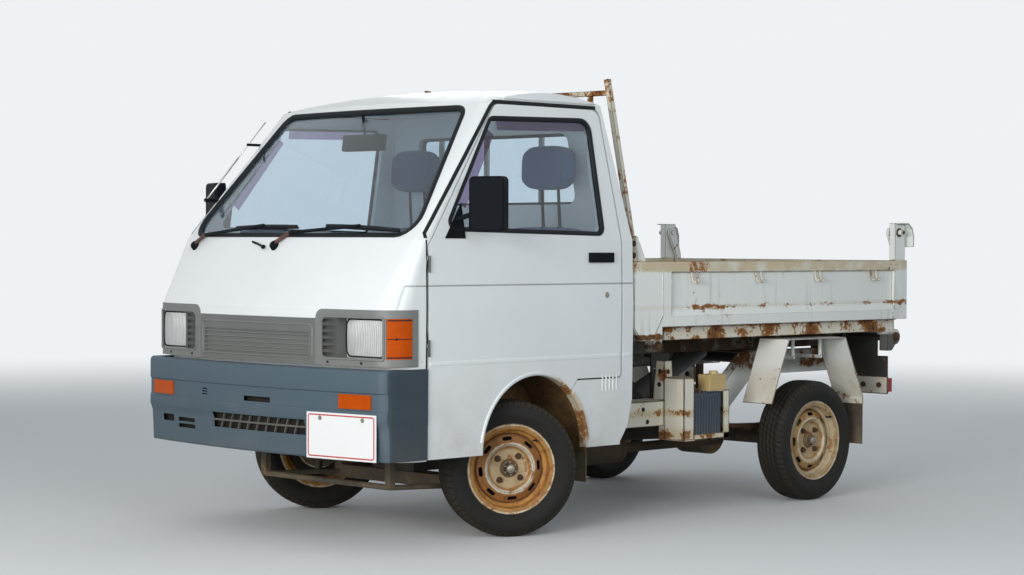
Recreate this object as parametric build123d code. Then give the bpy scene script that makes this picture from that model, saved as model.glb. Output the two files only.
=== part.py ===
from build123d import *
import math
import os

# A forward-control dump truck of the Japanese light class, right-hand drive, in millimetres.
# The front looks along -Y, +X is the vehicle's left, and Z is the height above the ground.
# Lengths along Y are measured from the front axle's line. write() then moves every piece back
# so that the middle of the whole length lies at Y = 0.

# Whole vehicle
NOSE_Y = -808.0
TAIL_Y = 2392.0
WHEELBASE = 1762.0
GAP = 6.0
SEAT = 0.3

# Cab body
SIDE_X = 694.0
CAB_WALL = 35.0
CAB_BOTTOM_Z = 318.0
BAND_LOW_Z = 657.0
BAND_TOP_Z = 858.0
BELT_Z = 1108.0
HEADER_Z = 1606.0
ROOF_SPLIT_Z = 1618.0
ROOF_TOP_Z = 1690.0
CAB_REAR_Y = 550.0
BOW_RADIUS = 4000.0
CROWN_RADIUS = 6500.0
STRUCTURE_NOSE_Y = -715.0
BAND_NOSE_Y = -772.0
DOOR_FRONT_Y = -531.0
DOOR_REAR_Y = 482.0
DOOR_LEAN_Y = -112.0
DOOR_REACH_X = 556.0
DOOR_STEP_Z = 582.0
DOOR_TOP_Z = ROOF_SPLIT_Z - GAP
ARCH_Y = 18.0
ARCH_Z = 328.0
ARCH_RADIUS = 275.0
GLASS_THICK = 5.0
GLASS_DEPTH = 10.0
QUARTER_REAR_Y = 508.0
QUARTER_TOP_Z = 622.0
NOTCH_TOP_Z = 462.0
HINGE_X = SIDE_X + 3
HINGE_Y = DOOR_FRONT_Y - GAP / 2
HINGE_RADIUS = 5.0
HINGE_PIN_RADIUS = 2.5
HINGE_LEVELS = (690.0, 990.0)
HINGE_LENGTH = 30.0
FOOTWELL_Z = 482.0
PLATFORM_Z = 712.0
FLOOR_PLATE = 12.0
FLOOR_HALF = 652.0
RISER_Y = -296.0

# Each row is one plan section of the cab: height, half width, nose, inner nose, corner radius, rear.
LOWER_SECTIONS = [
    (CAB_BOTTOM_Z, SIDE_X - 6, STRUCTURE_NOSE_Y, STRUCTURE_NOSE_Y + CAB_WALL, 90.0, CAB_REAR_Y),
    (BAND_TOP_Z, SIDE_X, STRUCTURE_NOSE_Y, STRUCTURE_NOSE_Y + CAB_WALL, 90.0, CAB_REAR_Y),
]
UPPER_SECTIONS = [
    (BAND_TOP_Z, SIDE_X, BAND_NOSE_Y + 1, STRUCTURE_NOSE_Y + CAB_WALL, 110.0, CAB_REAR_Y),
    (BELT_Z, SIDE_X - 4, -630.0, -595.0, 45.0, CAB_REAR_Y - 3),
    (HEADER_Z, SIDE_X - 96, -211.0, -176.0, 38.0, CAB_REAR_Y - 83),
    (ROOF_TOP_Z + 36, SIDE_X - 118, -110.0, -75.0, 38.0, CAB_REAR_Y - 102),
]
# Roof line along the middle: place along Y and height.
ROOF_LINE = [(-194.0, ROOF_TOP_Z - 62), (110.0, ROOF_TOP_Z), (430.0, ROOF_TOP_Z - 25)]

# Wheels and steering
TRACK = 1192.0
TYRE_RADIUS = 256.0
TYRE_WIDTH = 147.0
TREAD_WIDTH = 104.0
RIM_RADIUS = 170.0
RIM_BEAD_RADIUS = 152.0
STEER_ANGLE = 30.0
STEER_LOW = (548.0, 175.0)
STEER_TOP = (446.0, 698.0)

# Frame
RAIL_OUTER_X = 390.0
RAIL_WIDTH = 50.0
RAIL_DEPTH = 102.0
RAIL_LOW_Z = 343.0
RAIL_HIGH_Z = 530.0
RAIL_WALL = 5.0
RAIL_FRONT_Y = -600.0
KICK_START_Y = 1440.0
KICK_END_Y = 1665.0
RAIL_REAR_Y = 2320.0

# Dump bed
BED_HALF = 690.0
BED_FRONT_Y = 563.0
BED_REAR_Y = 2375.0
BED_TOP_Z = 1026.0
FLOOR_TOP_Z = 774.0
FLOOR_THICK = 12.0
SIDE_THICK = 30.0
RAIL_TOP_BAND = 42.0
LOW_RAIL_Z = 767.0
LOW_RAIL_DEPTH = 41.0
LEDGE_DEPTH = 33.0
RECESS = 16.0
STILE_FRONT_Y = 728.0
STILE_WIDTH = 54.0
STILE_REAR_WIDTH = 75.0
SILL_X = (606.0, 650.0)
SILL_LOW_Z = 712.0
POST_Y = (2285.0, 2359.0)
POST_TOP_Z = 1192.0
PIN_Y = 2312.0
PIN_Z = 1150.0
PIN_RADIUS = 11.0
GATE_THICK = 30.0
GATE_GAP = 6.0
TILT_Y = 2350.0
TILT_Z = 685.0
TILT_SHAFT_RADIUS = 20.0
BED_RAIL_X = (345.0, 384.0)
BED_RAIL_LOW_Z = 642.0

# Lift cylinder
BARREL_Y = 1290.0
BARREL_Z = 420.0
EYE_Y = 1860.0
EYE_Z = 664.0
BARREL_RADIUS = 42.0
ROD_RADIUS = 22.0
EYE_RADIUS = 30.0

# Front face
BEZEL_INNER_X = 338.0
BEZEL_CORNER = 34.0
BEZEL_REAR_Y = -586.0
GRILLE_TOP_Z = BAND_TOP_Z - BEZEL_CORNER
GRILLE_FIELD_X = 306.0
GRILLE_FIELD_Z = (684.0, 772.0)
GRILLE_FIELD_DEPTH = 6.0
GRILLE_BARS = 3
GRILLE_BAR_HEIGHT = 14.0
LAMP_X = 545.0
LAMP_WIDTH = 200.0
LAMP_Z = (684.0, 828.0)
LAMP_SETBACK = 22.0
CORNER_LAMP_X = 656.0
CORNER_LAMP_REAR_Y = -612.0
VENT_X = (374.0, 430.0)
VENT_DEPTH = 12.0
VENT_COUNT = 6
BUMPER_LOW_Z = 324.0
BUMPER_TOP_Z = 648.0
BUMPER_REAR_Y = -540.0
BUMPER_WALL = 22.0
SIGNAL_X = 563.0
SIGNAL_WIDTH = 150.0
SIGNAL_Z = (508.0, 560.0)
PLATE_X = 504.0
PLATE_WIDTH = 330.0
PLATE_Z = (326.0, 491.0)
PLATE_THICK = 3.0
# Each row is one cut through the bumper: middle, width, low edge, high edge.
BUMPER_CUTS = [
    (11.0, 242.0, 508.0, 530.0), (-283.0, 8.0, 515.0, 545.0), (-268.0, 8.0, 515.0, 545.0),
    (-253.0, 8.0, 515.0, 545.0), (0.0, 560.0, 404.0, 418.0), (0.0, 560.0, 425.0, 439.0),
    (0.0, 560.0, 446.0, 460.0), (-530.0, 104.0, 400.0, 455.0), (530.0, 104.0, 400.0, 455.0),
    (-390.0, 100.0, 400.0, 420.0), (-390.0, 100.0, 432.0, 452.0),
]

# Knuckles and strut towers
UPRIGHT_TOP_Z = 360.0
UPRIGHT_RADIUS = 18.0
STRUT_RADIUS = 18.0
SPRING_LOW_Z = 545.0
SPRING_RADIUS = 45.0
STUD_RADIUS = 8.0
BALL_RADIUS = 13.0
LOWER_ARM_Z = (148.0, 160.0)
TOWER_TOP_Z = 680.0
TOWER_RADIUS = 62.0
LINER_X = (390.0, 650.0)
LINER_RADIUS = 308.0
LINER_THICK = 5.0

# Drive and suspension
ENGINE_HALF = 230.0
ENGINE_Y = (90.0, 500.0)
ENGINE_Z = (250.0, 640.0)
ENGINE_MOUNT_Y = 295.0
GEARBOX_REAR_Y = 860.0
HALF_SHAFT_X = 502.0
STABILISER_Y = -420.0
STABILISER_Z = 190.0
DIFF_NOSE = 125.0
AXLE_TUBE_RADIUS = 32.0
SPRING_X = 440.0
SPRING_REACH = 480.0
SPRING_SEAT_Z = 292.0
LEAF_WIDTH = 50.0
LEAF_COUNT = 4
LEAF_THICK = 8.0
LEAF_RISE_FRONT = 24.0
LEAF_RISE_REAR = 88.0
EYE_OUTER = 17.0
CLAMP_LOW_Z = 214.0
EXHAUST_X = 295.0
EXHAUST_Z = 250.0
EXHAUST_RADIUS = 58.0

# Frame fittings
# Each row is one cross tube: place along Y, height, radius.
CROSS_TUBES = [(-560.0, 394.0, 24.0), (560.0, 394.0, 24.0), (905.0, 394.0, 24.0), (2060.0, 576.0, 24.0),
               (2240.0, 581.0, 30.0)]
# Each row is one pair of cab mounts: ends along Y, height of the top.
CAB_MOUNTS = [((-600.0, -560.0), FOOTWELL_Z - FLOOR_PLATE), ((-370.0, -330.0), FOOTWELL_Z - FLOOR_PLATE),
              ((440.0, 480.0), PLATFORM_Z - FLOOR_PLATE)]
LIFT_BEAM_Y = (1205.0, 1245.0)
LIFT_EAR_X = (50.0, 60.0)
LIFT_PIN_RADIUS = 15.0
REST_Y = (1006.0, 1121.0)
REST_HOLES_Y = (1035.0, 1092.0)
REAR_PAD_Y = (2130.0, 2200.0)
TILT_PLATE = 12.0
SHAFT_REACH_X = 652.0
LAMP_BRACKET_Y = (2296.0, 2302.0)
LAMP_BRACKET = [(RAIL_OUTER_X + TILT_PLATE - 2, 550.0), (RAIL_OUTER_X + TILT_PLATE - 2, 680.0), (590.0, 680.0),
                (590.0, 600.0), (645.0, 600.0), (645.0, 430.0), (480.0, 430.0), (480.0, 515.0)]
BATTERY_TRAY_Z = (297.0, 303.0)
BATTERY_X = (440.0, 640.0)
COVER_Y = (817.0, 1016.0)
COVER_TOP_Z = 554.0
TRAY_REAR_Y = 1240.0
SHELF_Y = 1085.0
SHELF_Z = 497.0
MUDGUARD_X = (535.0, 690.0)
MUDGUARD_THICK = 4.0
# Each row is one bend of the mudguard: place along Y from the rear axle, height.
MUDGUARD_PATH = [(-340.0, 428.0), (-227.0, 692.0), (164.0, 692.0), (291.0, 433.0), (291.0, 400.0)]
MUDGUARD_STAYS = (-72.0, 118.0)
TANK_REACH = (-912.0, -512.0)

# Interior
DASH_ROWS = [(-900.0, 850.0), (-900.0, 1096.0), (-560.0, 1096.0, 20.0), (-440.0, 1070.0, 30.0),
             (-430.0, 960.0, 20.0), (-520.0, 850.0, 20.0)]
WHEEL_CENTRE = (-340.0, -330.0, 1010.0)
WHEEL_WAY = (0.0, 0.55, 0.835)
WHEEL_RADIUS = 178.0
COLUMN_RADIUS = 11.0
SEAT_X = 340.0
SEAT_WIDTH = 460.0
HEADREST_X = 385.0

# Door fittings
MIRROR_AT = (795.0, -340.0, 1235.0)
MIRROR_TURN = 20.0
MIRROR_ARM_Y = -395.0
MIRROR_BASE = [(-452.0, 1112.0), (-352.0, 1240.0), (-352.0, 1112.0)]
HANDLE_Y = (298.0, 430.0)
HANDLE_Z = (1023.0, 1061.0)

# Bed fittings
GATE_Y = (BED_REAR_Y - GATE_THICK, BED_REAR_Y)
GATE_SIDE_GAP = 8.0
BEARER_YS = (800.0, 1130.0, 1460.0, 1790.0, 2120.0)
LUG_RADIUS = 34.0
LIFT_EAR_IN = 36.0
EAR_Y = (1795.0, 1985.0)
EAR_LOW_Z = 625.0
STRAP_PATH = [(2290.0, POST_TOP_Z), (2352.0, POST_TOP_Z), (2380.0, 1170.0), (TAIL_Y, 1135.0), (TAIL_Y, 1086.0)]
GUARD_Y = (573.0, 593.0)
GUARD_BAR = 20.0
GUARD_FOOT_X = 682.0
GUARD_TOP_X = 530.0
GUARD_TOP_Z = 1745.0
GUARD_BAR_Z = GUARD_TOP_Z - 45.0
GUARD_INNER_X = (150.0, 420.0)
BARREL_LENGTH = 520.0
PISTON_AT = 150.0

MIDDLE_Y = (NOSE_Y + TAIL_Y) / 2
REAR_AXLE_Y = WHEELBASE


def block(x, y, z):
    """A box given by its two ends on each axis."""
    size = Box(x[1] - x[0], y[1] - y[0], z[1] - z[0])
    return Pos((x[0] + x[1]) / 2, (y[0] + y[1]) / 2, (z[0] + z[1]) / 2) * size


def shape(rows):
    """A flat outline from rows of two places and a corner radius."""
    flat = Polygon(*[(row[0], row[1]) for row in rows], align=None)
    for u, v, radius in [row for row in rows if len(row) == 3]:
        flat = fillet(flat.vertices().sort_by_distance((u, v))[0], radius)
    return flat


def across(rows, x):
    """An outline in Y and Z, as thick as from x[0] to x[1]."""
    return extrude(Plane.YZ.offset(x[0]) * shape(rows), x[1] - x[0], dir=(1, 0, 0))


def along(rows, y):
    """An outline in X and Z, as long as from y[0] to y[1]."""
    return extrude(Plane.XZ.offset(-y[0]) * shape(rows), y[1] - y[0], dir=(0, 1, 0))


def upward(rows, z):
    """An outline in X and Y, as high as from z[0] to z[1]."""
    return extrude(Plane.XY.offset(z[0]) * shape(rows), z[1] - z[0], dir=(0, 0, 1))


def rod(start, end, radius):
    """A round bar between two points."""
    line = Vector(*end) - Vector(*start)
    plane = Plane(origin=start, z_dir=line)
    return extrude(plane * Circle(radius), line.length)


def sheet(path, thick):
    """Rows of a closed outline: a path of bent plate and its parallel copy, thick to its left."""
    normals = []
    for (u, v), (p, q) in zip(path, path[1:]):
        length = math.hypot(p - u, q - v)
        normals.append(((v - q) / length, (p - u) / length))
    copy = []
    for index, (u, v) in enumerate(path):
        before = normals[max(index - 1, 0)]
        after = normals[min(index, len(normals) - 1)]
        mitre = 1 + before[0] * after[0] + before[1] * after[1]
        step = (before[0] + after[0]) / mitre, (before[1] + after[1]) / mitre
        copy.append((u + thick * step[0], v + thick * step[1]))
    return [*path, *reversed(copy)]


def mirrored(part):
    """The same piece on the vehicle's right."""
    return mirror(part, Plane.YZ)


def both(part):
    """A piece and its mirror twin in one node."""
    return Compound(children=[*part.solids(), *mirrored(part).solids()])


def group(*parts):
    """Solids that share a node and do not touch."""
    return Compound(children=[solid for part in parts for solid in part.solids()])


def write(name, part):
    """Saves a piece with the middle of the vehicle's length at Y = 0."""
    moved = [Pos(0, -MIDDLE_Y, 0) * solid for solid in part.solids()]
    export_step(moved[0] if len(moved) == 1 else Compound(children=moved), f"parts/{name}.step")


# Cab body, one hollow form cut into its panels


def plan_section(z, half, nose, corner, rear):
    """One level outline of the cab: bowed front, rounded corners, straight sides."""
    edge = nose + BOW_RADIUS - math.sqrt(BOW_RADIUS**2 - half**2)
    front = ThreePointArc((-half, edge), (0, nose), (half, edge))
    rest = Polyline((half, edge), (half, rear), (-half, rear), (-half, edge))
    flat = make_face([*front.edges(), *rest.edges()])
    corners = flat.vertices().sort_by(Axis.Y)[:2]
    return Plane.XY.offset(z) * fillet(corners, corner)


def cab_form(depth):
    """The closed form of the cab, this deep inside its outer skin."""
    share = depth / CAB_WALL
    stages = []
    for table in (LOWER_SECTIONS, UPPER_SECTIONS):
        rows = []
        for z, half, nose, nose_inner, corner, rear in table:
            edge = nose + (nose_inner - nose) * share
            rows.append(plan_section(z, half - depth, edge, max(corner - depth, 8.0), rear - depth))
        stages.append(loft(rows, ruled=True))
    nose_form = stages[0] + stages[1]
    if depth:
        z, half, nose, nose_inner, corner, rear = LOWER_SECTIONS[0]
        edge = nose + (nose_inner - nose) * share
        low = plan_section(z - 40, half - depth, edge, corner - depth, rear - depth)
        nose_form = nose_form + extrude(low, 40)
    rows = [*LOWER_SECTIONS, *UPPER_SECTIONS[1:]]
    low = CAB_BOTTOM_Z - (40 if depth else 0)
    flank = [(row[1] - depth, row[0]) for row in rows]
    flank = [(flank[0][0], low), *flank] if depth else flank
    body = along([*flank, *[(-x, z) for x, z in reversed(flank)]], (-900.0, 700.0))
    back = [(row[5] - depth, row[0]) for row in rows]
    back = [(back[0][0], low), *back] if depth else back
    body = body & across([*back, (-900.0, back[-1][1]), (-900.0, low)], (-800.0, 800.0))
    ahead = across(nose_zone(), (-800.0, 800.0))
    form = (body - ahead) + (nose_form & ahead)
    start, middle, end = [(y, z - depth) for y, z in ROOF_LINE]
    run_in = (start[0] - 800, start[1] - 300)
    run_out = (end[0] + 300, end[1] - 60)
    top = ThreePointArc(start, middle, end)
    under = Polyline(end, run_out, (run_out[0], 200), (run_in[0], 200), run_in, start)
    slab = Plane.YZ * make_face([*top.edges(), *under.edges()])
    centre = (0, 0, ROOF_TOP_Z - CROWN_RADIUS)
    crown = revolve(slab, Axis(centre, (0, 1, 0)), 16)
    crown = Pos(centre) * Rot(0, -8, 0) * Pos(0, 0, -centre[2]) * crown
    return form & crown


def nose_zone():
    """Everything ahead of a line just before the door, where the cab's faces are curved."""
    front = DOOR_FRONT_Y - GAP - 1.2
    slope = (DOOR_LEAN_Y - DOOR_FRONT_Y) / (DOOR_TOP_Z + GAP - BELT_Z + 20)
    top = 1900.0
    return [(-1000.0, 200.0), (front, 200.0), (front, BELT_Z - 20),
            (front + slope * (top - BELT_Z + 20), top), (-1000.0, top)]


def arch_cut():
    """The wheel opening in the left side of the cab."""
    disc = extrude(Plane.YZ.offset(430.0) * Pos(ARCH_Y, ARCH_Z) * Circle(ARCH_RADIUS), 400)
    reach = (ARCH_Y - ARCH_RADIUS, ARCH_Y + ARCH_RADIUS)
    return disc + block((430.0, 830.0), reach, (200.0, ARCH_Z))


def door_rows(margin):
    """Outline of the door in Y and Z, widened by a margin."""
    front = DOOR_FRONT_Y - margin
    rear = DOOR_REAR_Y + 1.7 * margin
    low = CAB_BOTTOM_Z + 4 - 4 * margin
    step = DOOR_STEP_Z - margin
    top = DOOR_TOP_Z + margin
    return [
        (front, low), (front, BELT_Z - 20), (DOOR_LEAN_Y - margin, top, 40.0), (rear - 38, top, 40.0),
        (rear, BELT_Z - 20), (rear, step, 12.0), (240.0, step), (205.0, 540.0 - margin), (205.0, low),
    ]


WINDOW = [(-436.0, 1148.0, 22.0), (-146.0, 1556.0, 34.0), (382.0, 1568.0, 44.0), (384.0, 1134.0, 26.0)]
WINDSCREEN = [(-646.0, 1124.0, 60.0), (-512.0, 1598.0, 50.0), (512.0, 1598.0, 50.0), (646.0, 1124.0, 60.0)]
REAR_LIGHT = [(-440.0, 1250.0, 40.0), (-430.0, 1530.0, 40.0), (430.0, 1530.0, 40.0), (440.0, 1250.0, 40.0)]


def pane_zone(plane, rows, depth, way):
    """A prism that is the seat clearance smaller than an opening."""
    return extrude(plane * offset(shape(rows), -SEAT), depth, dir=way)


def cab_body():
    """Shell panels, panes and doors of the cab."""
    skin = cab_form(0.0)
    room = cab_form(CAB_WALL)
    glass = cab_form(GLASS_DEPTH) - cab_form(GLASS_DEPTH + GLASS_THICK)
    shell = skin - room
    wide = (DOOR_REACH_X, SIDE_X + 60)
    arch = arch_cut()
    window = across(WINDOW, wide)
    door = (shell & across(door_rows(0.0), wide)) - arch - window
    opening = across(door_rows(GAP), wide)
    cuts = [opening, mirrored(opening), arch, mirrored(arch)]
    rest = shell
    for cut in cuts:
        rest = rest - cut
    far = 900.0
    roof = rest & block((-far, far), (-far, far), (ROOF_SPLIT_Z, 1900.0))
    front = rest & block((-far, far), (-far, 0.0), (200.0, BELT_Z))
    screen = along(WINDSCREEN, (-far, -60.0))
    frame = (rest & block((-far, far), (-far, 100.0), (BELT_Z, ROOF_SPLIT_Z))) - screen
    back = rest & block((-far, far), (100.0, far), (200.0, ROOF_SPLIT_Z))
    corner = across([(470.0, 200.0), (484.0, 331.0), (524.0, 387.0), (549.0, 487.0), (600.0, 487.0),
                     (600.0, 200.0)], (-far, far))
    back = back - corner - block((-RAIL_OUTER_X - 30, RAIL_OUTER_X + 30), (100.0, far), (200.0, NOTCH_TOP_Z))
    quarter_zone = block((-far, far), (100.0, QUARTER_REAR_Y), (200.0, QUARTER_TOP_Z))
    sides = back & quarter_zone
    rear_wall = back - quarter_zone - along(REAR_LIGHT, (300.0, far))
    screen_pane = glass & pane_zone(Plane.XZ.offset(far), WINDSCREEN, far - 60.0, (0, 1, 0))
    rear_pane = glass & pane_zone(Plane.XZ.offset(-300.0), REAR_LIGHT, far - 300.0, (0, 1, 0))
    door_pane = glass & pane_zone(Plane.YZ.offset(wide[0]), WINDOW, wide[1] - wide[0], (1, 0, 0))
    return {
        "skin": skin, "room": room, "door": door, "door_pane": door_pane, "roof": roof, "front_panel": front,
        "windscreen_frame": frame, "rear_wall": rear_wall, "quarter_panels": sides,
        "cab_glass": group(screen_pane, rear_pane),
    }


# Face of the front: lamp housings, grille, bumper and plate


def bow_y(nose, x):
    """Place along Y of a bowed front face at a given X."""
    return nose + BOW_RADIUS - math.sqrt(BOW_RADIUS**2 - x**2)


def band_form(nose, half, corner, z, rear):
    """A bowed solid with rounded front corners."""
    return extrude(plan_section(z[0], half, nose, corner, rear), z[1] - z[0], dir=(0, 0, 1))


def bowed_recess(nose, depth, half, z):
    """What a shallow sunk field takes out of a bowed face."""
    outer = band_form(nose - 5, half + 90, 20.0, z, -500.0)
    taken = outer - band_form(nose + depth, half + 100, 20.0, z, -500.0)
    return taken & block((-half, half), (-900.0, 0.0), z)


def turned_block(x, y, depth, width, z, angle):
    """A box that follows the bowed face: point on it, depths from it, width, heights and turn."""
    box = Pos(0, (depth[0] + depth[1]) / 2, 0) * Box(width, depth[1] - depth[0], z[1] - z[0])
    return Pos(x, y, (z[0] + z[1]) / 2) * Rot(0, 0, angle) * box


def front_trim(skin):
    """Grille, lamp housings, lamps, bumper and plate."""
    far = 900.0
    band = band_form(BAND_NOSE_Y - 1, SIDE_X + 3, 112.0, (BAND_LOW_Z, BAND_TOP_Z), BEZEL_REAR_Y) - skin
    bezel_zone = along([(BEZEL_INNER_X, 0.0), (BEZEL_INNER_X, BAND_TOP_Z, BEZEL_CORNER), (far, BAND_TOP_Z),
                        (far, 0.0)], (-far, far))
    middle = band - bezel_zone - mirrored(bezel_zone)
    strip = middle & block((-far, far), (-far, far), (GRILLE_TOP_Z, 2000.0))
    grille = middle & block((-far, far), (-far, far), (0.0, GRILLE_TOP_Z))
    grille = grille - bowed_recess(BAND_NOSE_Y, GRILLE_FIELD_DEPTH, GRILLE_FIELD_X, GRILLE_FIELD_Z)
    step = (GRILLE_FIELD_Z[1] - GRILLE_FIELD_Z[0]) / (GRILLE_BARS + 1)
    for index in range(GRILLE_BARS):
        level = GRILLE_FIELD_Z[0] + step * (index + 1) - GRILLE_BAR_HEIGHT / 2
        bar = bowed_recess(BAND_NOSE_Y, GRILLE_FIELD_DEPTH, GRILLE_FIELD_X, (level, level + GRILLE_BAR_HEIGHT))
        grille = grille + (bar & band_form(BAND_NOSE_Y + 5, SIDE_X, 90.0, (0, 2000), 0.0))
    lamp_y = bow_y(BAND_NOSE_Y, LAMP_X) + LAMP_SETBACK
    lamp_x = (LAMP_X - LAMP_WIDTH / 2, LAMP_X + LAMP_WIDTH / 2)
    bezel = band & bezel_zone
    bezel = bezel - block(lamp_x, (-far, 0.0), LAMP_Z)
    lining = band_form(BAND_NOSE_Y + 14, SIDE_X - 12, 100.0, LAMP_Z, CAB_REAR_Y)
    corner_zone = block((CORNER_LAMP_X, far), (-far, CORNER_LAMP_REAR_Y), LAMP_Z)
    bezel = bezel - (corner_zone - lining)
    for index in range(VENT_COUNT):
        level = LAMP_Z[0] + (index + 0.5) * (LAMP_Z[1] - LAMP_Z[0]) / VENT_COUNT
        bottom = bow_y(BAND_NOSE_Y, VENT_X[0]) + VENT_DEPTH
        bezel = bezel - block(VENT_X, (-far, bottom), (level - 6, level + 6))
    lamp_z = (LAMP_Z[0] + SEAT, LAMP_Z[1] - SEAT)
    behind = band_form(STRUCTURE_NOSE_Y, SIDE_X, 90.0, (0.0, 2000.0), CAB_REAR_Y)
    band_zone = block((0.0, far), (-far, 0.0), (0.0, 2000.0)) - behind
    lamp = block((lamp_x[0] + SEAT, lamp_x[1] - SEAT), (lamp_y, 0.0), lamp_z)
    lamp = (lamp & (Pos(LAMP_X, lamp_y + 600.0, sum(LAMP_Z) / 2) * Sphere(600.0))) & block(
        (0.0, far), (-far, bow_y(STRUCTURE_NOSE_Y, lamp_x[1]) + 30), (0, 2000))
    lamp = lamp & band_zone
    corner_lamp = corner_zone & band_form(BAND_NOSE_Y + 1, SIDE_X + 1, 111.0, lamp_z, CAB_REAR_Y)
    corner_lamp = corner_lamp - lining - skin
    corner_lamp = corner_lamp - block((0.0, CORNER_LAMP_X + SEAT), (-far, far), (0, 2000))
    corner_lamp = corner_lamp - block((0.0, far), (CORNER_LAMP_REAR_Y - SEAT, far), (0, 2000))
    height = (BUMPER_LOW_Z, BUMPER_TOP_Z)
    bumper = band_form(NOSE_Y, SIDE_X + 5, 112.0, height, BUMPER_REAR_Y)
    hollow = band_form(NOSE_Y + BUMPER_WALL, SIDE_X + 5 - BUMPER_WALL, 92.0,
                       (BUMPER_LOW_Z - 10, BUMPER_TOP_Z - BUMPER_WALL), BUMPER_REAR_Y - 20)
    bumper = bumper - hollow - skin
    bumper = bumper - bowed_recess(NOSE_Y, 6.0, SIGNAL_X - SIGNAL_WIDTH / 2 - 6, SIGNAL_Z)
    for x, width, low, high in BUMPER_CUTS:
        bumper = bumper - block((x - width / 2, x + width / 2), (NOSE_Y - 20, NOSE_Y + 62), (low, high))
    signal_y = bow_y(NOSE_Y, SIGNAL_X)
    turn = math.degrees(math.asin(SIGNAL_X / BOW_RADIUS))
    pit = turned_block(SIGNAL_X, signal_y, (-20.0, BUMPER_WALL - 4), SIGNAL_WIDTH, SIGNAL_Z, turn)
    bumper = bumper - pit - mirrored(pit)
    signal_z = (SIGNAL_Z[0] + SEAT, SIGNAL_Z[1] - SEAT)
    depth = (0.0, BUMPER_WALL - 4 - SEAT)
    signal = turned_block(SIGNAL_X, signal_y, depth, SIGNAL_WIDTH - 2 * SEAT, signal_z, turn)
    plate_turn = math.degrees(math.asin(PLATE_X / BOW_RADIUS))
    plate_y = bow_y(NOSE_Y, PLATE_X)
    plate = turned_block(PLATE_X, plate_y, (-PLATE_THICK - SEAT, -SEAT), PLATE_WIDTH, PLATE_Z, plate_turn)
    return {
        "grille": grille, "lamp_bezels": both(bezel), "headlamps": both(lamp), "bumper": bumper,
        "amber_lamps": group(both(corner_lamp), both(signal)), "number_plate": plate, "strip": strip,
    }


# Wheels


def wheel_turn(flat):
    """Turns an outline drawn as outward place and radius into a ring about the wheel's axle."""
    face = Plane(origin=(0, 0, 0), x_dir=(1, 0, 0), z_dir=(0, -1, 0)) * flat
    return revolve(face, Axis.X, 360)


BARREL_PATH = [(-57.0, 170.0), (-50.0, 152.0), (-30.0, 150.0), (-20.0, 132.0), (14.0, 132.0), (26.0, 150.0),
               (50.0, 152.0), (57.0, 170.0)]
DISC_PATH = [(8.0, 130.0), (22.0, 124.0), (34.0, 102.0), (36.0, 92.0), (22.0, 80.0), (18.0, 70.0), (18.0, 30.0)]
RIM_THICK = 4.0
HUB_RADIUS = 34.0
SPINDLE_RADIUS = 14.0
DRUM_RADIUS = 92.0
SLOT_COUNT = 8
SLOT_RING = 112.0
BOLT_RING = 57.0
BOLT_COUNT = 4
BOLT_HOLE = 6.0
HUB_INNER = -38.0
HUB_CAP = 46.0


def wheel_rim():
    """Rim, disc, hub and drum of one wheel, its axle along X and its outer face towards +X."""
    barrel = wheel_turn(Polygon(*sheet(BARREL_PATH, -RIM_THICK), align=None))
    disc = wheel_turn(Polygon(*sheet(DISC_PATH, RIM_THICK), align=None))
    rim = barrel + disc
    for index in range(SLOT_COUNT):
        slot = Rot(360.0 * index / SLOT_COUNT, 0, 0) * Pos(0, 0, SLOT_RING)
        rim = rim - slot * Rot(0, 90, 0) * Rot(0, 0, 90) * extrude(SlotOverall(36, 13), 60, both=True)
    for index in range(BOLT_COUNT):
        hole = Rot(45 + 360.0 * index / BOLT_COUNT, 0, 0) * Pos(0, 0, BOLT_RING)
        rim = rim - hole * Rot(0, 90, 0) * Cylinder(BOLT_HOLE, 120)
    hub = [(HUB_INNER, 0.0), (HUB_INNER, HUB_RADIUS), (18.0, HUB_RADIUS), (30.0, 30.0), (34.0, 22.0),
           (HUB_CAP, 20.0), (HUB_CAP, 0.0)]
    drum = [(-30.0, HUB_RADIUS - 4), (-30.0, DRUM_RADIUS), (0.0, DRUM_RADIUS), (13.5, DRUM_RADIUS - 20),
            (13.5, HUB_RADIUS - 4)]
    rim = rim + wheel_turn(Polygon(*hub, align=None)) + wheel_turn(Polygon(*drum, align=None))
    bore = Pos((HUB_INNER + 8) / 2, 0, 0) * Rot(0, 90, 0) * Cylinder(SPINDLE_RADIUS + 0.05, 8 - HUB_INNER)
    return rim - bore


def wheel_tyre():
    """A hollow tyre with rounded shoulders."""
    bead = RIM_BEAD_RADIUS + SEAT
    side = TYRE_WIDTH / 2
    tread = TREAD_WIDTH / 2
    shoulder = TYRE_RADIUS - 9.0
    right = [Line((44, bead), (49.7, bead)), Line((49.7, bead), (56.7, RIM_RADIUS + 0.3)),
             ThreePointArc((56.7, RIM_RADIUS + 0.3), (side, 206), (tread + 8, shoulder)),
             ThreePointArc((tread + 8, shoulder), (tread + 4, TYRE_RADIUS - 4.5),
                           (tread - 6, TYRE_RADIUS - 1.2))]
    crown = ThreePointArc((tread - 6, TYRE_RADIUS - 1.2), (0, TYRE_RADIUS), (6 - tread, TYRE_RADIUS - 1.2))
    left = [mirror(edge, Plane.YZ) for edge in right]
    inside = [Line((44, bead), (44, bead + 8)),
              ThreePointArc((44, bead + 8), (side - 11, 203), (tread - 6, shoulder - 4)),
              Line((tread - 6, shoulder - 4), (6 - tread, shoulder - 4))]
    inside_left = [mirror(edge, Plane.YZ) for edge in inside[:2]]
    outline = [*right, crown, *left, *inside, *inside_left]
    return wheel_turn(make_face([edge for line in outline for edge in line.edges()]))


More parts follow.
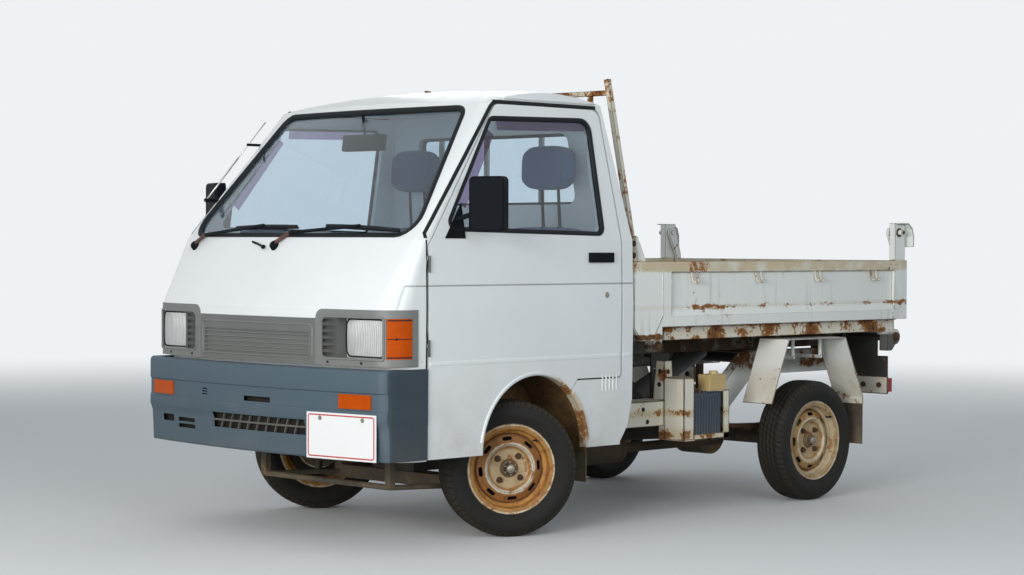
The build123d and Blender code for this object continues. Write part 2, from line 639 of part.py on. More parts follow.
def stub():
    """Backing plate and spindle that one wheel turns on, along X from the hub's inner end."""
    plate = Pos(HUB_INNER - 5, 0, 0) * Rot(0, 90, 0) * Cylinder(DRUM_RADIUS - 6, 5)
    pin = Pos((HUB_INNER - 40 + 4) / 2, 0, 0) * Rot(0, 90, 0) * Cylinder(SPINDLE_RADIUS, 4 - (HUB_INNER - 40))
    return plate + pin


def at_wheel(part, y, z=TYRE_RADIUS):
    """A wheel's piece at its place on the left."""
    return Pos(TRACK / 2, y, z) * part


def steer_axis(right=False):
    """Line through the lower ball and the top of the strut."""
    side = -1 if right else 1
    low = (side * STEER_LOW[0], 0, STEER_LOW[1])
    return Axis(low, (side * (STEER_TOP[0] - STEER_LOW[0]), 0, STEER_TOP[1] - STEER_LOW[1]))


def steer_point(z):
    """Where the left steering line passes a height."""
    slope = (STEER_TOP[0] - STEER_LOW[0]) / (STEER_TOP[1] - STEER_LOW[1])
    return (STEER_LOW[0] + slope * (z - STEER_LOW[1]), 0, z)


def steered(part, right=False):
    """A front wheel's piece, mirrored for the right, turned to the rest angle."""
    placed = mirrored(part) if right else part
    return placed.rotate(steer_axis(right), -STEER_ANGLE)


def knuckle(hub_z):
    """Spindle, upright and strut of the left front wheel, looking straight ahead."""
    upright = rod(steer_point(STEER_LOW[1] + 30), steer_point(UPRIGHT_TOP_Z), UPRIGHT_RADIUS)
    upright = upright + rod(steer_point(STEER_LOW[1] - 12), steer_point(STEER_LOW[1] + 40), BALL_RADIUS)
    upright = upright + rod(steer_point(LOWER_ARM_Z[0]), steer_point(STEER_LOW[1]), STUD_RADIUS)
    strut = rod(steer_point(UPRIGHT_TOP_Z - 10), steer_point(SPRING_LOW_Z), STRUT_RADIUS)
    seat = rod(steer_point(SPRING_LOW_Z), steer_point(SPRING_LOW_Z + 5), SPRING_RADIUS)
    upper = rod(steer_point(SPRING_LOW_Z), steer_point(TOWER_TOP_Z - 5 - SEAT), STRUT_RADIUS + 6)
    stud = rod(steer_point(SPRING_LOW_Z), steer_point(TOWER_TOP_Z + 6), STUD_RADIUS)
    arm = rod((STEER_LOW[0] - 25, 0, 215), (STEER_LOW[0] - 40, 120, 215), 12)
    return at_wheel(stub(), 0, hub_z) + upright + strut + seat + upper + stud + arm


# Frame, suspension and drive


def rail_outline(margin, reach=0.0):
    """Side outline of a frame rail with its step up over the rear axle."""
    low = RAIL_LOW_Z + margin
    high = RAIL_HIGH_Z + margin
    path = [(RAIL_FRONT_Y - reach, low), (KICK_START_Y, low), (KICK_END_Y, high), (RAIL_REAR_Y + reach, high)]
    return sheet(path, RAIL_DEPTH - 2 * margin)


def frame_rails():
    """Two channel rails, open towards each other."""
    inner = RAIL_OUTER_X - RAIL_WIDTH
    rail = across(rail_outline(0.0), (inner, RAIL_OUTER_X))
    hollow = across(rail_outline(RAIL_WALL, 5.0), (inner - 5, RAIL_OUTER_X - RAIL_WALL))
    return both(rail - hollow)


def crossmembers():
    """Tubes between the rails, mounts of the cab, rests of the bed and the rear fittings."""
    web = RAIL_OUTER_X - RAIL_WALL
    inner = RAIL_OUTER_X - RAIL_WIDTH + 5
    low_top = RAIL_LOW_Z + RAIL_DEPTH
    high_top = RAIL_HIGH_Z + RAIL_DEPTH
    tubes = [rod((-web, y, z), (web, y, z), radius) for y, z, radius in CROSS_TUBES]
    ear = across([(LIFT_BEAM_Y[1] - 2, BARREL_Z - 40), (BARREL_Y + 10, BARREL_Z - 40, 10.0),
                  (BARREL_Y + 32, BARREL_Z, 10.0), (BARREL_Y + 10, BARREL_Z + 34, 20.0),
                  (BARREL_Y - 20, BARREL_Z + 34, 20.0), (LIFT_BEAM_Y[1] - 2, BARREL_Z + 10)], LIFT_EAR_X)
    ear = ear - rod((0, BARREL_Y, BARREL_Z), (100, BARREL_Y, BARREL_Z), LIFT_PIN_RADIUS + 0.05)
    beam = block((-web, web), LIFT_BEAM_Y, (BARREL_Z - 66, BARREL_Z + 16)) + ear + mirrored(ear)
    mounts = [block((inner, web), y, (low_top, top)) for y, top in CAB_MOUNTS]
    tower = block((web - 7, web), REST_Y, (low_top, high_top + 1))
    tower = tower + block((inner, web), REST_Y, (low_top, low_top + 8))
    tower = tower + block((inner, web), REST_Y, (high_top - 7, BED_RAIL_LOW_Z - SEAT))
    for y in REST_HOLES_Y:
        tower = tower - rod((inner, y, low_top + 60), (web + 10, y, low_top + 60), 12.0)
        tower = tower - rod((inner, y, low_top + 125), (web + 10, y, low_top + 125), 12.0)
    pad = block((inner, web), REAR_PAD_Y, (high_top, BED_RAIL_LOW_Z - SEAT))
    plate = across([(TILT_Y - 60, RAIL_HIGH_Z + 20), (TILT_Y - 60, TILT_Z, 10.0),
                    (TILT_Y - 30, TILT_Z + 30, 20.0), (TILT_Y + 30, TILT_Z + 30, 24.0),
                    (TILT_Y + 30, TILT_Z - 40, 20.0), (RAIL_REAR_Y, RAIL_HIGH_Z + 20)],
                   (RAIL_OUTER_X, RAIL_OUTER_X + TILT_PLATE))
    bracket = along([(row[0], row[1]) for row in LAMP_BRACKET], LAMP_BRACKET_Y)
    shaft = rod((-SHAFT_REACH_X, TILT_Y, TILT_Z), (SHAFT_REACH_X, TILT_Y, TILT_Z), TILT_SHAFT_RADIUS)
    rear = shaft + plate + bracket + mirrored(plate + bracket)
    return group(*tubes, beam, *[both(m) for m in mounts], both(tower), both(pad), rear)


def front_suspension():
    """Cross beam, lower arms and stabiliser bar."""
    web = RAIL_OUTER_X
    beam = block((-web, web), (-45.0, 45.0), (150.0, 200.0))
    post = block((web - 45, web), (-45.0, 45.0), (195.0, RAIL_LOW_Z))
    post = post - rod((web - 60, 0, TYRE_RADIUS), (web + 10, 0, TYRE_RADIUS), 22.0)
    arm = upward([(web - 20, -40.0), (STEER_LOW[0] - 10, -16.0), (STEER_LOW[0] + 14, -16.0, 12.0),
                  (STEER_LOW[0] + 14, 16.0, 12.0), (STEER_LOW[0] - 10, 16.0), (web - 20, 40.0)], LOWER_ARM_Z)
    arm = arm - rod(steer_point(LOWER_ARM_Z[0] - 10), steer_point(STEER_LOW[1]), STUD_RADIUS + 0.05)
    side = post + arm
    bar = rod((-web + 20, STABILISER_Y, STABILISER_Z), (web - 20, STABILISER_Y, STABILISER_Z), 11.0)
    link = rod((web - 25, STABILISER_Y, STABILISER_Z), (web - 25, -40.0, 172.0), 10.0)
    hanger = block((web - 40, web - 10), (STABILISER_Y - 12, STABILISER_Y + 12), (STABILISER_Z, RAIL_LOW_Z))
    half = side + link + hanger
    return beam + half + mirrored(half) + bar


def driveline():
    """Front final drive with half shafts, gearbox and propeller shaft."""
    casing = block((-120.0, 120.0), (-78.0, ENGINE_Y[0]), (208.0, 318.0))
    shafts = rod((-HALF_SHAFT_X, 0, TYRE_RADIUS), (HALF_SHAFT_X, 0, TYRE_RADIUS), 13.0)
    cup = rod((HALF_SHAFT_X - 60, 0, TYRE_RADIUS), (HALF_SHAFT_X, 0, TYRE_RADIUS), 32.0)
    front = casing + shafts + cup + mirrored(cup)
    box = across([(ENGINE_Y[1], 230.0), (ENGINE_Y[1], 362.0), (700.0, 362.0, 20.0),
                  (GEARBOX_REAR_Y, 340.0, 20.0), (GEARBOX_REAR_Y, 235.0, 20.0)], (-118.0, 118.0))
    shaft = rod((0, GEARBOX_REAR_Y - 20, 286.0), (0, REAR_AXLE_Y - DIFF_NOSE, TYRE_RADIUS), 26.0)
    nose_cut = block((-200.0, 200.0), (REAR_AXLE_Y - DIFF_NOSE, 1900.0), (0.0, 500.0))
    return group(front, (box + shaft) - nose_cut)


def rear_axle():
    """Axle tube with its final drive, spring seats and the two wheel spindles."""
    reach = TRACK / 2 + HUB_INNER - 40
    tube = rod((-reach - 4, REAR_AXLE_Y, TYRE_RADIUS), (reach + 4, REAR_AXLE_Y, TYRE_RADIUS), AXLE_TUBE_RADIUS)
    case = rod((-75, REAR_AXLE_Y, TYRE_RADIUS), (75, REAR_AXLE_Y, TYRE_RADIUS), 98.0)
    nose = rod((0, REAR_AXLE_Y - DIFF_NOSE, TYRE_RADIUS), (0, REAR_AXLE_Y, TYRE_RADIUS), 46.0)
    seat = block((SPRING_X - 30, SPRING_X + 30), (REAR_AXLE_Y - 45, REAR_AXLE_Y + 45),
                 (TYRE_RADIUS - AXLE_TUBE_RADIUS + 4, SPRING_SEAT_Z))
    end = at_wheel(stub(), REAR_AXLE_Y)
    return tube + case + nose + seat + mirrored(seat) + end + mirrored(end)


def leaf_line(reach, level):
    """Top line of one leaf, out to a reach on both sides of the axle."""
    steps = [-1.0, -0.75, -0.5, -0.25, 0.25, 0.5, 0.75, 1.0]
    rows = []
    for share in steps:
        distance = share * reach
        rise = LEAF_RISE_FRONT if distance < 0 else LEAF_RISE_REAR
        bent = max(abs(distance) - 60.0, 0.0) / (SPRING_REACH - 60.0)
        rows.append((REAR_AXLE_Y + distance, level + rise * bent**2))
    return rows


def leaf_springs():
    """Packs of leaves over the axle with their hangers, shackles and clamp bolts."""
    zone = (SPRING_X - LEAF_WIDTH / 2, SPRING_X + LEAF_WIDTH / 2)
    pack = None
    for index in range(LEAF_COUNT):
        reach = SPRING_REACH - 115.0 * (LEAF_COUNT - 1 - index)
        leaf = across(sheet(leaf_line(reach, SPRING_SEAT_Z + LEAF_THICK * index), LEAF_THICK), zone)
        pack = leaf if pack is None else pack + leaf
    top = SPRING_SEAT_Z + LEAF_THICK * (LEAF_COUNT - 1)
    front_eye = (REAR_AXLE_Y - SPRING_REACH, top + LEAF_RISE_FRONT + LEAF_THICK / 2)
    rear_eye = (REAR_AXLE_Y + SPRING_REACH, top + LEAF_RISE_REAR + LEAF_THICK / 2)
    for y, z in (front_eye, rear_eye):
        pack = pack + rod((zone[0], y, z), (zone[1], y, z), EYE_OUTER)
        pack = pack + rod((RAIL_OUTER_X, y, z), (zone[1] + 10, y, z), 9.0)
    y, z = front_eye
    hanger = across([(y - 30, RAIL_LOW_Z + 60), (y + 30, RAIL_LOW_Z + 60), (y + 20, z - 16, 12.0),
                     (y - 20, z - 16, 12.0)], (RAIL_OUTER_X, zone[0] - 2))
    y, z = rear_eye
    shackle = across([(y - 16, RAIL_HIGH_Z + 50), (y + 16, RAIL_HIGH_Z + 50), (y + 16, z - 16, 12.0),
                      (y - 16, z - 16, 12.0)], (RAIL_OUTER_X, zone[0] - 2))
    clamp = block((SPRING_X - 42, SPRING_X + 42), (REAR_AXLE_Y - 50, REAR_AXLE_Y + 50),
                  (CLAMP_LOW_Z, TYRE_RADIUS - AXLE_TUBE_RADIUS))
    strap = block((SPRING_X - 42, SPRING_X + 42), (REAR_AXLE_Y - 50, REAR_AXLE_Y + 50),
                  (top + LEAF_THICK, top + LEAF_THICK + 8))
    for dx in (-36.0, 36.0):
        for dy in (-41.0, 41.0):
            place = (SPRING_X + dx, REAR_AXLE_Y + dy)
            clamp = clamp + rod((*place, CLAMP_LOW_Z - 12), (*place, top + LEAF_THICK + 16), 5.5)
    return both(pack + hanger + shackle + clamp + strap)


def engine():
    """The engine as one plain block on its mounts, under the seats."""
    body = block((-ENGINE_HALF, ENGINE_HALF), ENGINE_Y, ENGINE_Z)
    reach = RAIL_OUTER_X - RAIL_WALL
    level = RAIL_LOW_Z + RAIL_DEPTH / 2
    return body + rod((-reach, ENGINE_MOUNT_Y, level), (reach, ENGINE_MOUNT_Y, level), 22.0)


def exhaust():
    """Silencer under the left rail with its pipes and hangers."""
    body = rod((EXHAUST_X, 330.0, EXHAUST_Z), (EXHAUST_X, 900.0, EXHAUST_Z), EXHAUST_RADIUS)
    tail = rod((EXHAUST_X, 890.0, EXHAUST_Z), (EXHAUST_X, 1560.0, EXHAUST_Z), 20.0)
    head = rod((EXHAUST_X, 270.0, EXHAUST_Z + 12), (EXHAUST_X, 340.0, EXHAUST_Z + 12), 20.0)
    elbow = rod((ENGINE_HALF, 288.0, EXHAUST_Z + 12), (EXHAUST_X, 288.0, EXHAUST_Z + 12), 18.0)
    pipe = body + tail + head + elbow
    for y in (420.0, 800.0):
        pipe = pipe + rod((EXHAUST_X + 48, y, EXHAUST_Z), (EXHAUST_X + 48, y, RAIL_LOW_Z), 6.0)
    hook = rod((EXHAUST_X, 1400.0, EXHAUST_Z), (EXHAUST_X + 58, 1400.0, RAIL_LOW_Z - 6), 6.0)
    hook = hook + block((EXHAUST_X + 50, EXHAUST_X + 66), (1390.0, 1410.0), (RAIL_LOW_Z - 20, RAIL_LOW_Z))
    return pipe + hook


def fuel_tank():
    """Tank outside the right rail."""
    rows = [(-RAIL_OUTER_X - 10, 300.0, 20.0), (-640.0, 300.0, 30.0), (-640.0, 520.0, 30.0),
            (-RAIL_OUTER_X - 10, 520.0, 20.0)]
    start, end = REAR_AXLE_Y + TANK_REACH[0], REAR_AXLE_Y + TANK_REACH[1]
    tank = along(rows, (start, end))
    for y in (start + 50.0, end - 80.0):
        tank = tank + block((-RAIL_OUTER_X - 12, -RAIL_OUTER_X), (y, y + 35), (352.0, 436.0))
    return tank


def battery_box():
    """Cover, tray and brackets outside the left rail, open over the battery."""
    low, high = BATTERY_TRAY_Z
    x = BATTERY_X
    cover = block(x, COVER_Y, (high, COVER_TOP_Z)) - block(
        (x[0] - 5, x[1] - 4), (COVER_Y[0] + 4, COVER_Y[1] - 4), (high - 5, COVER_TOP_Z - 4))
    tray = block(x, (COVER_Y[0], TRAY_REAR_Y), (low, high))
    lip = block((x[1] - 4, x[1]), (COVER_Y[1], TRAY_REAR_Y), (low, high + 22))
    back = block(x, (TRAY_REAR_Y - 5, TRAY_REAR_Y), (low, SHELF_Z))
    shelf = block((x[0], x[1]), (SHELF_Y, TRAY_REAR_Y), (SHELF_Z - 4, SHELF_Z))
    side = block((x[0], x[0] + 4), (COVER_Y[1] - 5, TRAY_REAR_Y), (low, SHELF_Z))
    bracket = block((RAIL_OUTER_X, x[0]), (COVER_Y[0] + 20, COVER_Y[0] + 60), (350.0, 438.0))
    rear_bracket = block((RAIL_OUTER_X, x[0]), (TRAY_REAR_Y - 70, TRAY_REAR_Y - 30), (350.0, 438.0))
    link = block((x[0], x[0] + 4), (COVER_Y[0], COVER_Y[1]), (high, 440.0))
    return cover + tray + lip + back + shelf + side + bracket + rear_bracket + link


def mudguards():
    """Bent plates over the rear wheels with their stays."""
    path = [(REAR_AXLE_Y + y, z) for y, z in MUDGUARD_PATH]
    plate = across(sheet(path, MUDGUARD_THICK), MUDGUARD_X)
    for reach in MUDGUARD_STAYS:
        y = REAR_AXLE_Y + reach
        level = RAIL_HIGH_Z + 80
        plate = plate + rod((RAIL_OUTER_X, y, level), (MUDGUARD_X[0] + 60, y, level), 8.0)
        end = MUDGUARD_X[0] + 52
        plate = plate + rod((end, y, level), (end, y, MUDGUARD_PATH[1][1] + 2), 8.0)
    return both(plate)


def mudflaps():
    """Hanging flaps behind all four wheels."""
    end_y, end_z = REAR_AXLE_Y + MUDGUARD_PATH[-1][0], MUDGUARD_PATH[-1][1]
    rear = block((MUDGUARD_X[0] + 4, MUDGUARD_X[1] - 6), (end_y + MUDGUARD_THICK, end_y + MUDGUARD_THICK + 5),
                 (225.0, end_z + 28))
    liner_rear = ARCH_Y + LINER_RADIUS + LINER_THICK
    front = block((520.0, LINER_X[1]), (liner_rear, liner_rear + 5), (180.0, ARCH_Z))
    return group(both(rear), both(front))


def rear_lamps():
    """Lamp units under the tail on their plates."""
    y = LAMP_BRACKET_Y[1]
    plate = block((480.0, 645.0), (y, y + 4), (433.0, 506.0))
    lens = block((486.0, 639.0), (y + 3, 2345.0), (439.0, 500.0))
    lens = fillet(lens.edges().group_by(Axis.Y)[-1], 6.0)
    return both(plate + lens)


# Cab floor and interior


def cab_floor(room):
    """Footwells, riser and the raised platform that carries the seats."""
    half = FLOOR_HALF
    path = [(-900.0, FOOTWELL_Z - FLOOR_PLATE), (RISER_Y, FOOTWELL_Z - FLOOR_PLATE),
            (RISER_Y, PLATFORM_Z - FLOOR_PLATE), (QUARTER_REAR_Y + 7, PLATFORM_Z - FLOOR_PLATE)]
    return across(sheet(path, FLOOR_PLATE), (-half, half)) & room


def arch_liners():
    """Inner arches over the front wheels with the towers that hold the struts."""
    inner_x, outer_x = LINER_X
    outer = LINER_RADIUS + LINER_THICK
    cap = Plane.YZ.offset(inner_x) * Pos(ARCH_Y, ARCH_Z)
    width = outer_x - inner_x
    upper = block((0.0, 900.0), (-500.0, 600.0), (ARCH_Z, 900.0))
    disc = extrude(cap * Circle(LINER_RADIUS), width, dir=(1, 0, 0))
    ring = (extrude(cap * Circle(outer), width, dir=(1, 0, 0)) - disc) & upper
    wall = block((inner_x, inner_x + 6), (ARCH_Y - outer, ARCH_Y + outer),
                 (RAIL_LOW_Z, PLATFORM_Z - FLOOR_PLATE))
    low = ARCH_Z - 30
    skirts = block(LINER_X, (ARCH_Y + LINER_RADIUS, ARCH_Y + outer), (low, ARCH_Z))
    tube = rod(steer_point(560.0), steer_point(TOWER_TOP_Z), TOWER_RADIUS)
    bore = rod(steer_point(500.0), steer_point(TOWER_TOP_Z - 5), TOWER_RADIUS - 5)
    stud = rod(steer_point(560.0), steer_point(TOWER_TOP_Z + 20), STUD_RADIUS + 0.05)
    full_disc = extrude(Plane.YZ.offset(300.0) * Pos(ARCH_Y, ARCH_Z) * Circle(LINER_RADIUS), 400, dir=(1, 0, 0))
    tower = (tube - full_disc) & upper
    return both((ring + wall + skirts + tower) - bore - stud)


def dashboard(room):
    """Dashboard across the cab with the steering column's tube."""
    body = across(DASH_ROWS, (-FLOOR_HALF, FLOOR_HALF)) & room
    centre = Vector(*WHEEL_CENTRE)
    way = Vector(*WHEEL_WAY).normalized()
    tube = rod(tuple(centre - way * 330), tuple(centre - way * 42), 24.0)
    shaft = rod(tuple(centre - way * 330), tuple(centre - way * 6), COLUMN_RADIUS)
    bracket = block((centre.X - 30, centre.X + 30), (-560.0, -395.0), (870.0, 950.0))
    return body + bracket + tube + shaft


def steering_wheel():
    """Rim, spokes and hub of the steering wheel."""
    plane = Plane(origin=WHEEL_CENTRE, x_dir=(1, 0, 0), z_dir=WHEEL_WAY)
    ring = Torus(WHEEL_RADIUS, 11)
    hub = Pos(0, 0, -18) * Cylinder(34, 36)
    wheel = ring + hub
    for angle in (90.0, 210.0, 330.0):
        wheel = wheel + Rot(0, 0, angle + 60) * Pos(WHEEL_RADIUS / 2, 0, -6) * Box(WHEEL_RADIUS, 28, 10)
    wheel = wheel - Pos(0, 0, -38) * Cylinder(COLUMN_RADIUS + 0.05, 66)
    return plane * wheel


def seats():
    """Cushions and leaning backs with headrests."""
    x = (SEAT_X - SEAT_WIDTH / 2, SEAT_X + SEAT_WIDTH / 2)
    cushion = across([(-110.0, PLATFORM_Z), (-125.0, 800.0, 24.0), (-90.0, 842.0, 30.0), (330.0, 826.0, 20.0),
                      (345.0, PLATFORM_Z)], x)
    back = across([(336.0, 832.0, 10.0), (402.0, 1165.0, 30.0), (478.0, 1165.0, 30.0), (450.0, PLATFORM_Z),
                   (350.0, PLATFORM_Z)], x)
    head = across([(344.0, 1301.0, 24.0), (364.0, 1480.0, 30.0), (430.0, 1480.0, 30.0), (424.0, 1301.0, 24.0)],
                  (HEADREST_X - 135, HEADREST_X + 135))
    back = back + head
    for dx in (-45.0, 45.0):
        back = back + rod((HEADREST_X + dx, 410.0, 1140.0), (HEADREST_X + dx, 398.0, 1320.0), 6.0)
    return both(cushion), both(back)


# Doors


def hinge_pin(low, high, radius):
    """A round bar on the left door's hinge line."""
    return rod((HINGE_X, HINGE_Y, low), (HINGE_X, HINGE_Y, high), radius)


def hang_door(door, front):
    """Adds the hinges: the door keeps the pins, the panel ahead keeps the rings around them."""
    for level in HINGE_LEVELS:
        middle = level + HINGE_LENGTH
        top = middle + HINGE_LENGTH
        own = hinge_pin(level, middle, HINGE_RADIUS)
        other = hinge_pin(middle + SEAT, top, HINGE_RADIUS)
        own_space = hinge_pin(level - SEAT, middle + SEAT, HINGE_RADIUS + 1)
        other_space = hinge_pin(middle, top + SEAT, HINGE_RADIUS + 1)
        leaf = block((HINGE_X - 22, HINGE_X - 1), (HINGE_Y, HINGE_Y + 9), (level + 2, middle - 2))
        front_leaf = block((HINGE_X - 22, HINGE_X - 1), (HINGE_Y - 9, HINGE_Y), (middle + 3, top - 2))
        pin = hinge_pin(level, top, HINGE_PIN_RADIUS)
        door = (door - other_space) + own + leaf + pin
        bore = hinge_pin(middle, top + 5, HINGE_PIN_RADIUS + 0.05)
        added = (other + front_leaf) - bore
        front = front - own_space - mirrored(own_space) + added + mirrored(added)
    return door, front


def door_fittings(skin):
    """Mirror with its arm and base, and the pull handle."""
    base = (cab_form(-4.0) - skin) & across(MIRROR_BASE, (500.0, 760.0))
    arm = rod((660.0, MIRROR_ARM_Y, 1172.0), (MIRROR_AT[0] - 20, MIRROR_AT[1], 1215.0), 9.0) - skin
    head = fillet(Box(140, 45, 200).edges().filter_by(Axis.Y), 18.0)
    head = fillet(head.faces().sort_by(Axis.Y)[0].edges(), 12.0)
    head = Pos(*MIRROR_AT) * Rot(0, 0, MIRROR_TURN) * head
    handle = block((640.0, SIDE_X + 12), HANDLE_Y, HANDLE_Z) - skin
    handle = fillet(handle.edges().group_by(Axis.X)[-1], 5.0)
    return group(base + arm + head, handle)


# Dump bed, tailgate and lift


def bed_floor():
    """Floor plate, sills, long rails, cross bearers and the lugs of the tipping hinge."""
    half = BED_HALF - SIDE_THICK
    low = FLOOR_TOP_Z - FLOOR_THICK
    floor = block((-half, half), (BED_FRONT_Y + SIDE_THICK, GATE_Y[0] - GATE_GAP - 1), (low, FLOOR_TOP_Z))
    for y in BEARER_YS:
        floor = floor + block((-SILL_X[1] + 2, SILL_X[1] - 2), (y, y + 45), (SILL_LOW_Z, low))
    sill = block(SILL_X, (782.0, 2300.0), (SILL_LOW_Z, low))
    rail = block(BED_RAIL_X, (620.0, 2280.0), (BED_RAIL_LOW_Z, SILL_LOW_Z))
    lug = across([(2290.0, SILL_LOW_Z + 2), (2290.0, TILT_Z - 61), (2322.0, TILT_Z - 61, 10.0),
                  (TILT_Y, TILT_Z - LUG_RADIUS), (TILT_Y, TILT_Z + LUG_RADIUS)], SILL_X)
    lug = lug + block(SILL_X, (2270.0, TILT_Y - 12), (TILT_Z + 10, low))
    lug = lug + rod((SILL_X[0], TILT_Y, TILT_Z), (SILL_X[1], TILT_Y, TILT_Z), LUG_RADIUS)
    lug = lug - rod((SILL_X[0] - 5, TILT_Y, TILT_Z), (SILL_X[1] + 5, TILT_Y, TILT_Z), TILT_SHAFT_RADIUS + 0.05)
    front_lug = block(SILL_X, (717.0, 771.0), (666.0, low))
    strip = block((LIFT_EAR_IN, LIFT_EAR_IN + 10), EAR_Y, (EAR_LOW_Z, SILL_LOW_Z + 2))
    side = sill + rail + lug + front_lug + strip
    keel = block((-70.0, 70.0), (BEARER_YS[3], BEARER_YS[4] + 45), (SILL_LOW_Z, SILL_LOW_Z + 10))
    return floor + side + mirrored(side) + keel


def bed_sides():
    """Side panels with their corner posts and the tall rear posts that carry the tailgate."""
    outer = BED_HALF
    inner = BED_HALF - SIDE_THICK
    sunk = outer - RECESS
    top_low = BED_TOP_Z - RAIL_TOP_BAND
    low_top = LOW_RAIL_Z + LOW_RAIL_DEPTH
    panel = along([(inner, LOW_RAIL_Z), (outer, LOW_RAIL_Z), (outer, low_top), (sunk, low_top + LEDGE_DEPTH),
                   (sunk, top_low - 3), (outer, top_low), (outer, BED_TOP_Z), (inner, BED_TOP_Z)],
                  (BED_FRONT_Y, BED_REAR_Y))
    x = (inner, outer)
    front = across([(BED_FRONT_Y, BED_TOP_Z), (BED_FRONT_Y, 763.0), (614.0, 714.0), (STILE_FRONT_Y, 714.0),
                    (STILE_FRONT_Y, BED_TOP_Z)], x)
    stile = block(x, (STILE_FRONT_Y - 5, STILE_FRONT_Y + STILE_WIDTH), (LOW_RAIL_Z, BED_TOP_Z))
    rear = block(x, (BED_REAR_Y - STILE_REAR_WIDTH, BED_REAR_Y), (LOW_RAIL_Z, BED_TOP_Z))
    post = block(x, POST_Y, (LOW_RAIL_Z, POST_TOP_Z))
    strap = across(sheet(STRAP_PATH, -5.0), (inner + 4, outer + 26))
    side = panel + front + stile + rear + post + strap
    side = side - rod((inner - 5, PIN_Y, PIN_Z), (outer + 40, PIN_Y, PIN_Z), PIN_RADIUS + 0.05)
    return both(side)


def headboard():
    """Front wall of the bed."""
    half = BED_HALF - SIDE_THICK
    low = FLOOR_TOP_Z - FLOOR_THICK
    board = block((-half, half), (BED_FRONT_Y, BED_FRONT_Y + SIDE_THICK), (low, BED_TOP_Z))
    field_z = (FLOOR_TOP_Z + 60, BED_TOP_Z - 45)
    return board - block((-half + 60, half - 60), (BED_FRONT_Y + 16, BED_FRONT_Y + 40), field_z)


def guard_frame():
    """Tubular guard over the headboard, leaning in to the top."""
    y = GUARD_Y
    post = along(sheet([(GUARD_FOOT_X, BED_TOP_Z), (GUARD_TOP_X, GUARD_TOP_Z)], GUARD_BAR), y)
    foot_top = BED_TOP_Z + 100
    foot = along([(GUARD_FOOT_X + 8, BED_TOP_Z), (GUARD_FOOT_X - 4, foot_top), (GUARD_FOOT_X - 24, foot_top),
                  (GUARD_FOOT_X - 80, BED_TOP_Z)], (y[0], y[0] + 5))
    share = (GUARD_BAR_Z - BED_TOP_Z) / (GUARD_TOP_Z - BED_TOP_Z)
    bar_x = GUARD_FOOT_X + (GUARD_TOP_X - GUARD_FOOT_X) * share
    bar = block((-bar_x + 12, bar_x - 12), y, (GUARD_BAR_Z - GUARD_BAR, GUARD_BAR_Z))
    frame = bar
    for x in GUARD_INNER_X:
        upright = block((x, x + 18), (y[0] + 2, y[1] - 2), (BED_TOP_Z, GUARD_BAR_Z - 2))
        frame = frame + upright + mirrored(upright)
    side = (post + foot) & block((0.0, 900.0), (0.0, 900.0), (BED_TOP_Z, GUARD_TOP_Z))
    return frame + side + mirrored(side)


def tailgate():
    """Gate hung from two pins in the tall posts, free at its lower edge."""
    half = BED_HALF - SIDE_THICK - GATE_SIDE_GAP
    top_low = BED_TOP_Z - RAIL_TOP_BAND
    gate = block((-half, half), GATE_Y, (FLOOR_TOP_Z + GATE_GAP, BED_TOP_Z))
    field_z = (LOW_RAIL_Z + LOW_RAIL_DEPTH, top_low)
    gate = gate - block((-half + 70, half - 70), (GATE_Y[1] - 14, GATE_Y[1] + 5), field_z)
    arm = across([(PIN_Y - 20, PIN_Z - 10, 10.0), (PIN_Y - 20, PIN_Z + 22, 18.0), (PIN_Y + 22, PIN_Z + 22, 18.0),
                  (GATE_Y[1], BED_TOP_Z + 20), (GATE_Y[1], BED_TOP_Z - 40), (GATE_Y[0], BED_TOP_Z - 40),
                  (GATE_Y[0], BED_TOP_Z + 10)], (half - 14, half))
    pin = rod((half - 20, PIN_Y, PIN_Z), (BED_HALF + 24, PIN_Y, PIN_Z), PIN_RADIUS)
    return gate + arm + mirrored(arm) + pin + mirrored(pin)


def lift_line(distance):
    """A point this far from the cylinder's lower pin on the way to its rod's eye."""
    length = math.hypot(EYE_Y - BARREL_Y, EYE_Z - BARREL_Z)
    share = distance / length
    return (0, BARREL_Y + (EYE_Y - BARREL_Y) * share, BARREL_Z + (EYE_Z - BARREL_Z) * share)


def lift_barrel():
    """Barrel of the tipping cylinder with its lower eye and pin."""
    barrel = rod(lift_line(20), lift_line(BARREL_LENGTH), BARREL_RADIUS)
    barrel = barrel - rod(lift_line(100), lift_line(BARREL_LENGTH - 25), BARREL_RADIUS - 8)
    barrel = barrel - rod(lift_line(100), lift_line(BARREL_LENGTH + 5), ROD_RADIUS + 0.1)
    inner = LIFT_EAR_X[0] - 2
    eye = rod((-inner, BARREL_Y, BARREL_Z), (inner, BARREL_Y, BARREL_Z), EYE_RADIUS)
    pin_x = LIFT_EAR_X[1] + 4
    return barrel + eye + rod((-pin_x, BARREL_Y, BARREL_Z), (pin_x, BARREL_Y, BARREL_Z), LIFT_PIN_RADIUS)


def lift_rod():
    """Rod of the tipping cylinder with its piston and upper eye."""
    length = math.hypot(EYE_Y - BARREL_Y, EYE_Z - BARREL_Z)
    bar = rod(lift_line(PISTON_AT), lift_line(length), ROD_RADIUS)
    piston = rod(lift_line(PISTON_AT), lift_line(PISTON_AT + 30), BARREL_RADIUS - 8.3)
    reach = LIFT_EAR_IN - 3
    eye = rod((-reach, EYE_Y, EYE_Z), (reach, EYE_Y, EYE_Z), EYE_RADIUS)
    return bar + piston + eye


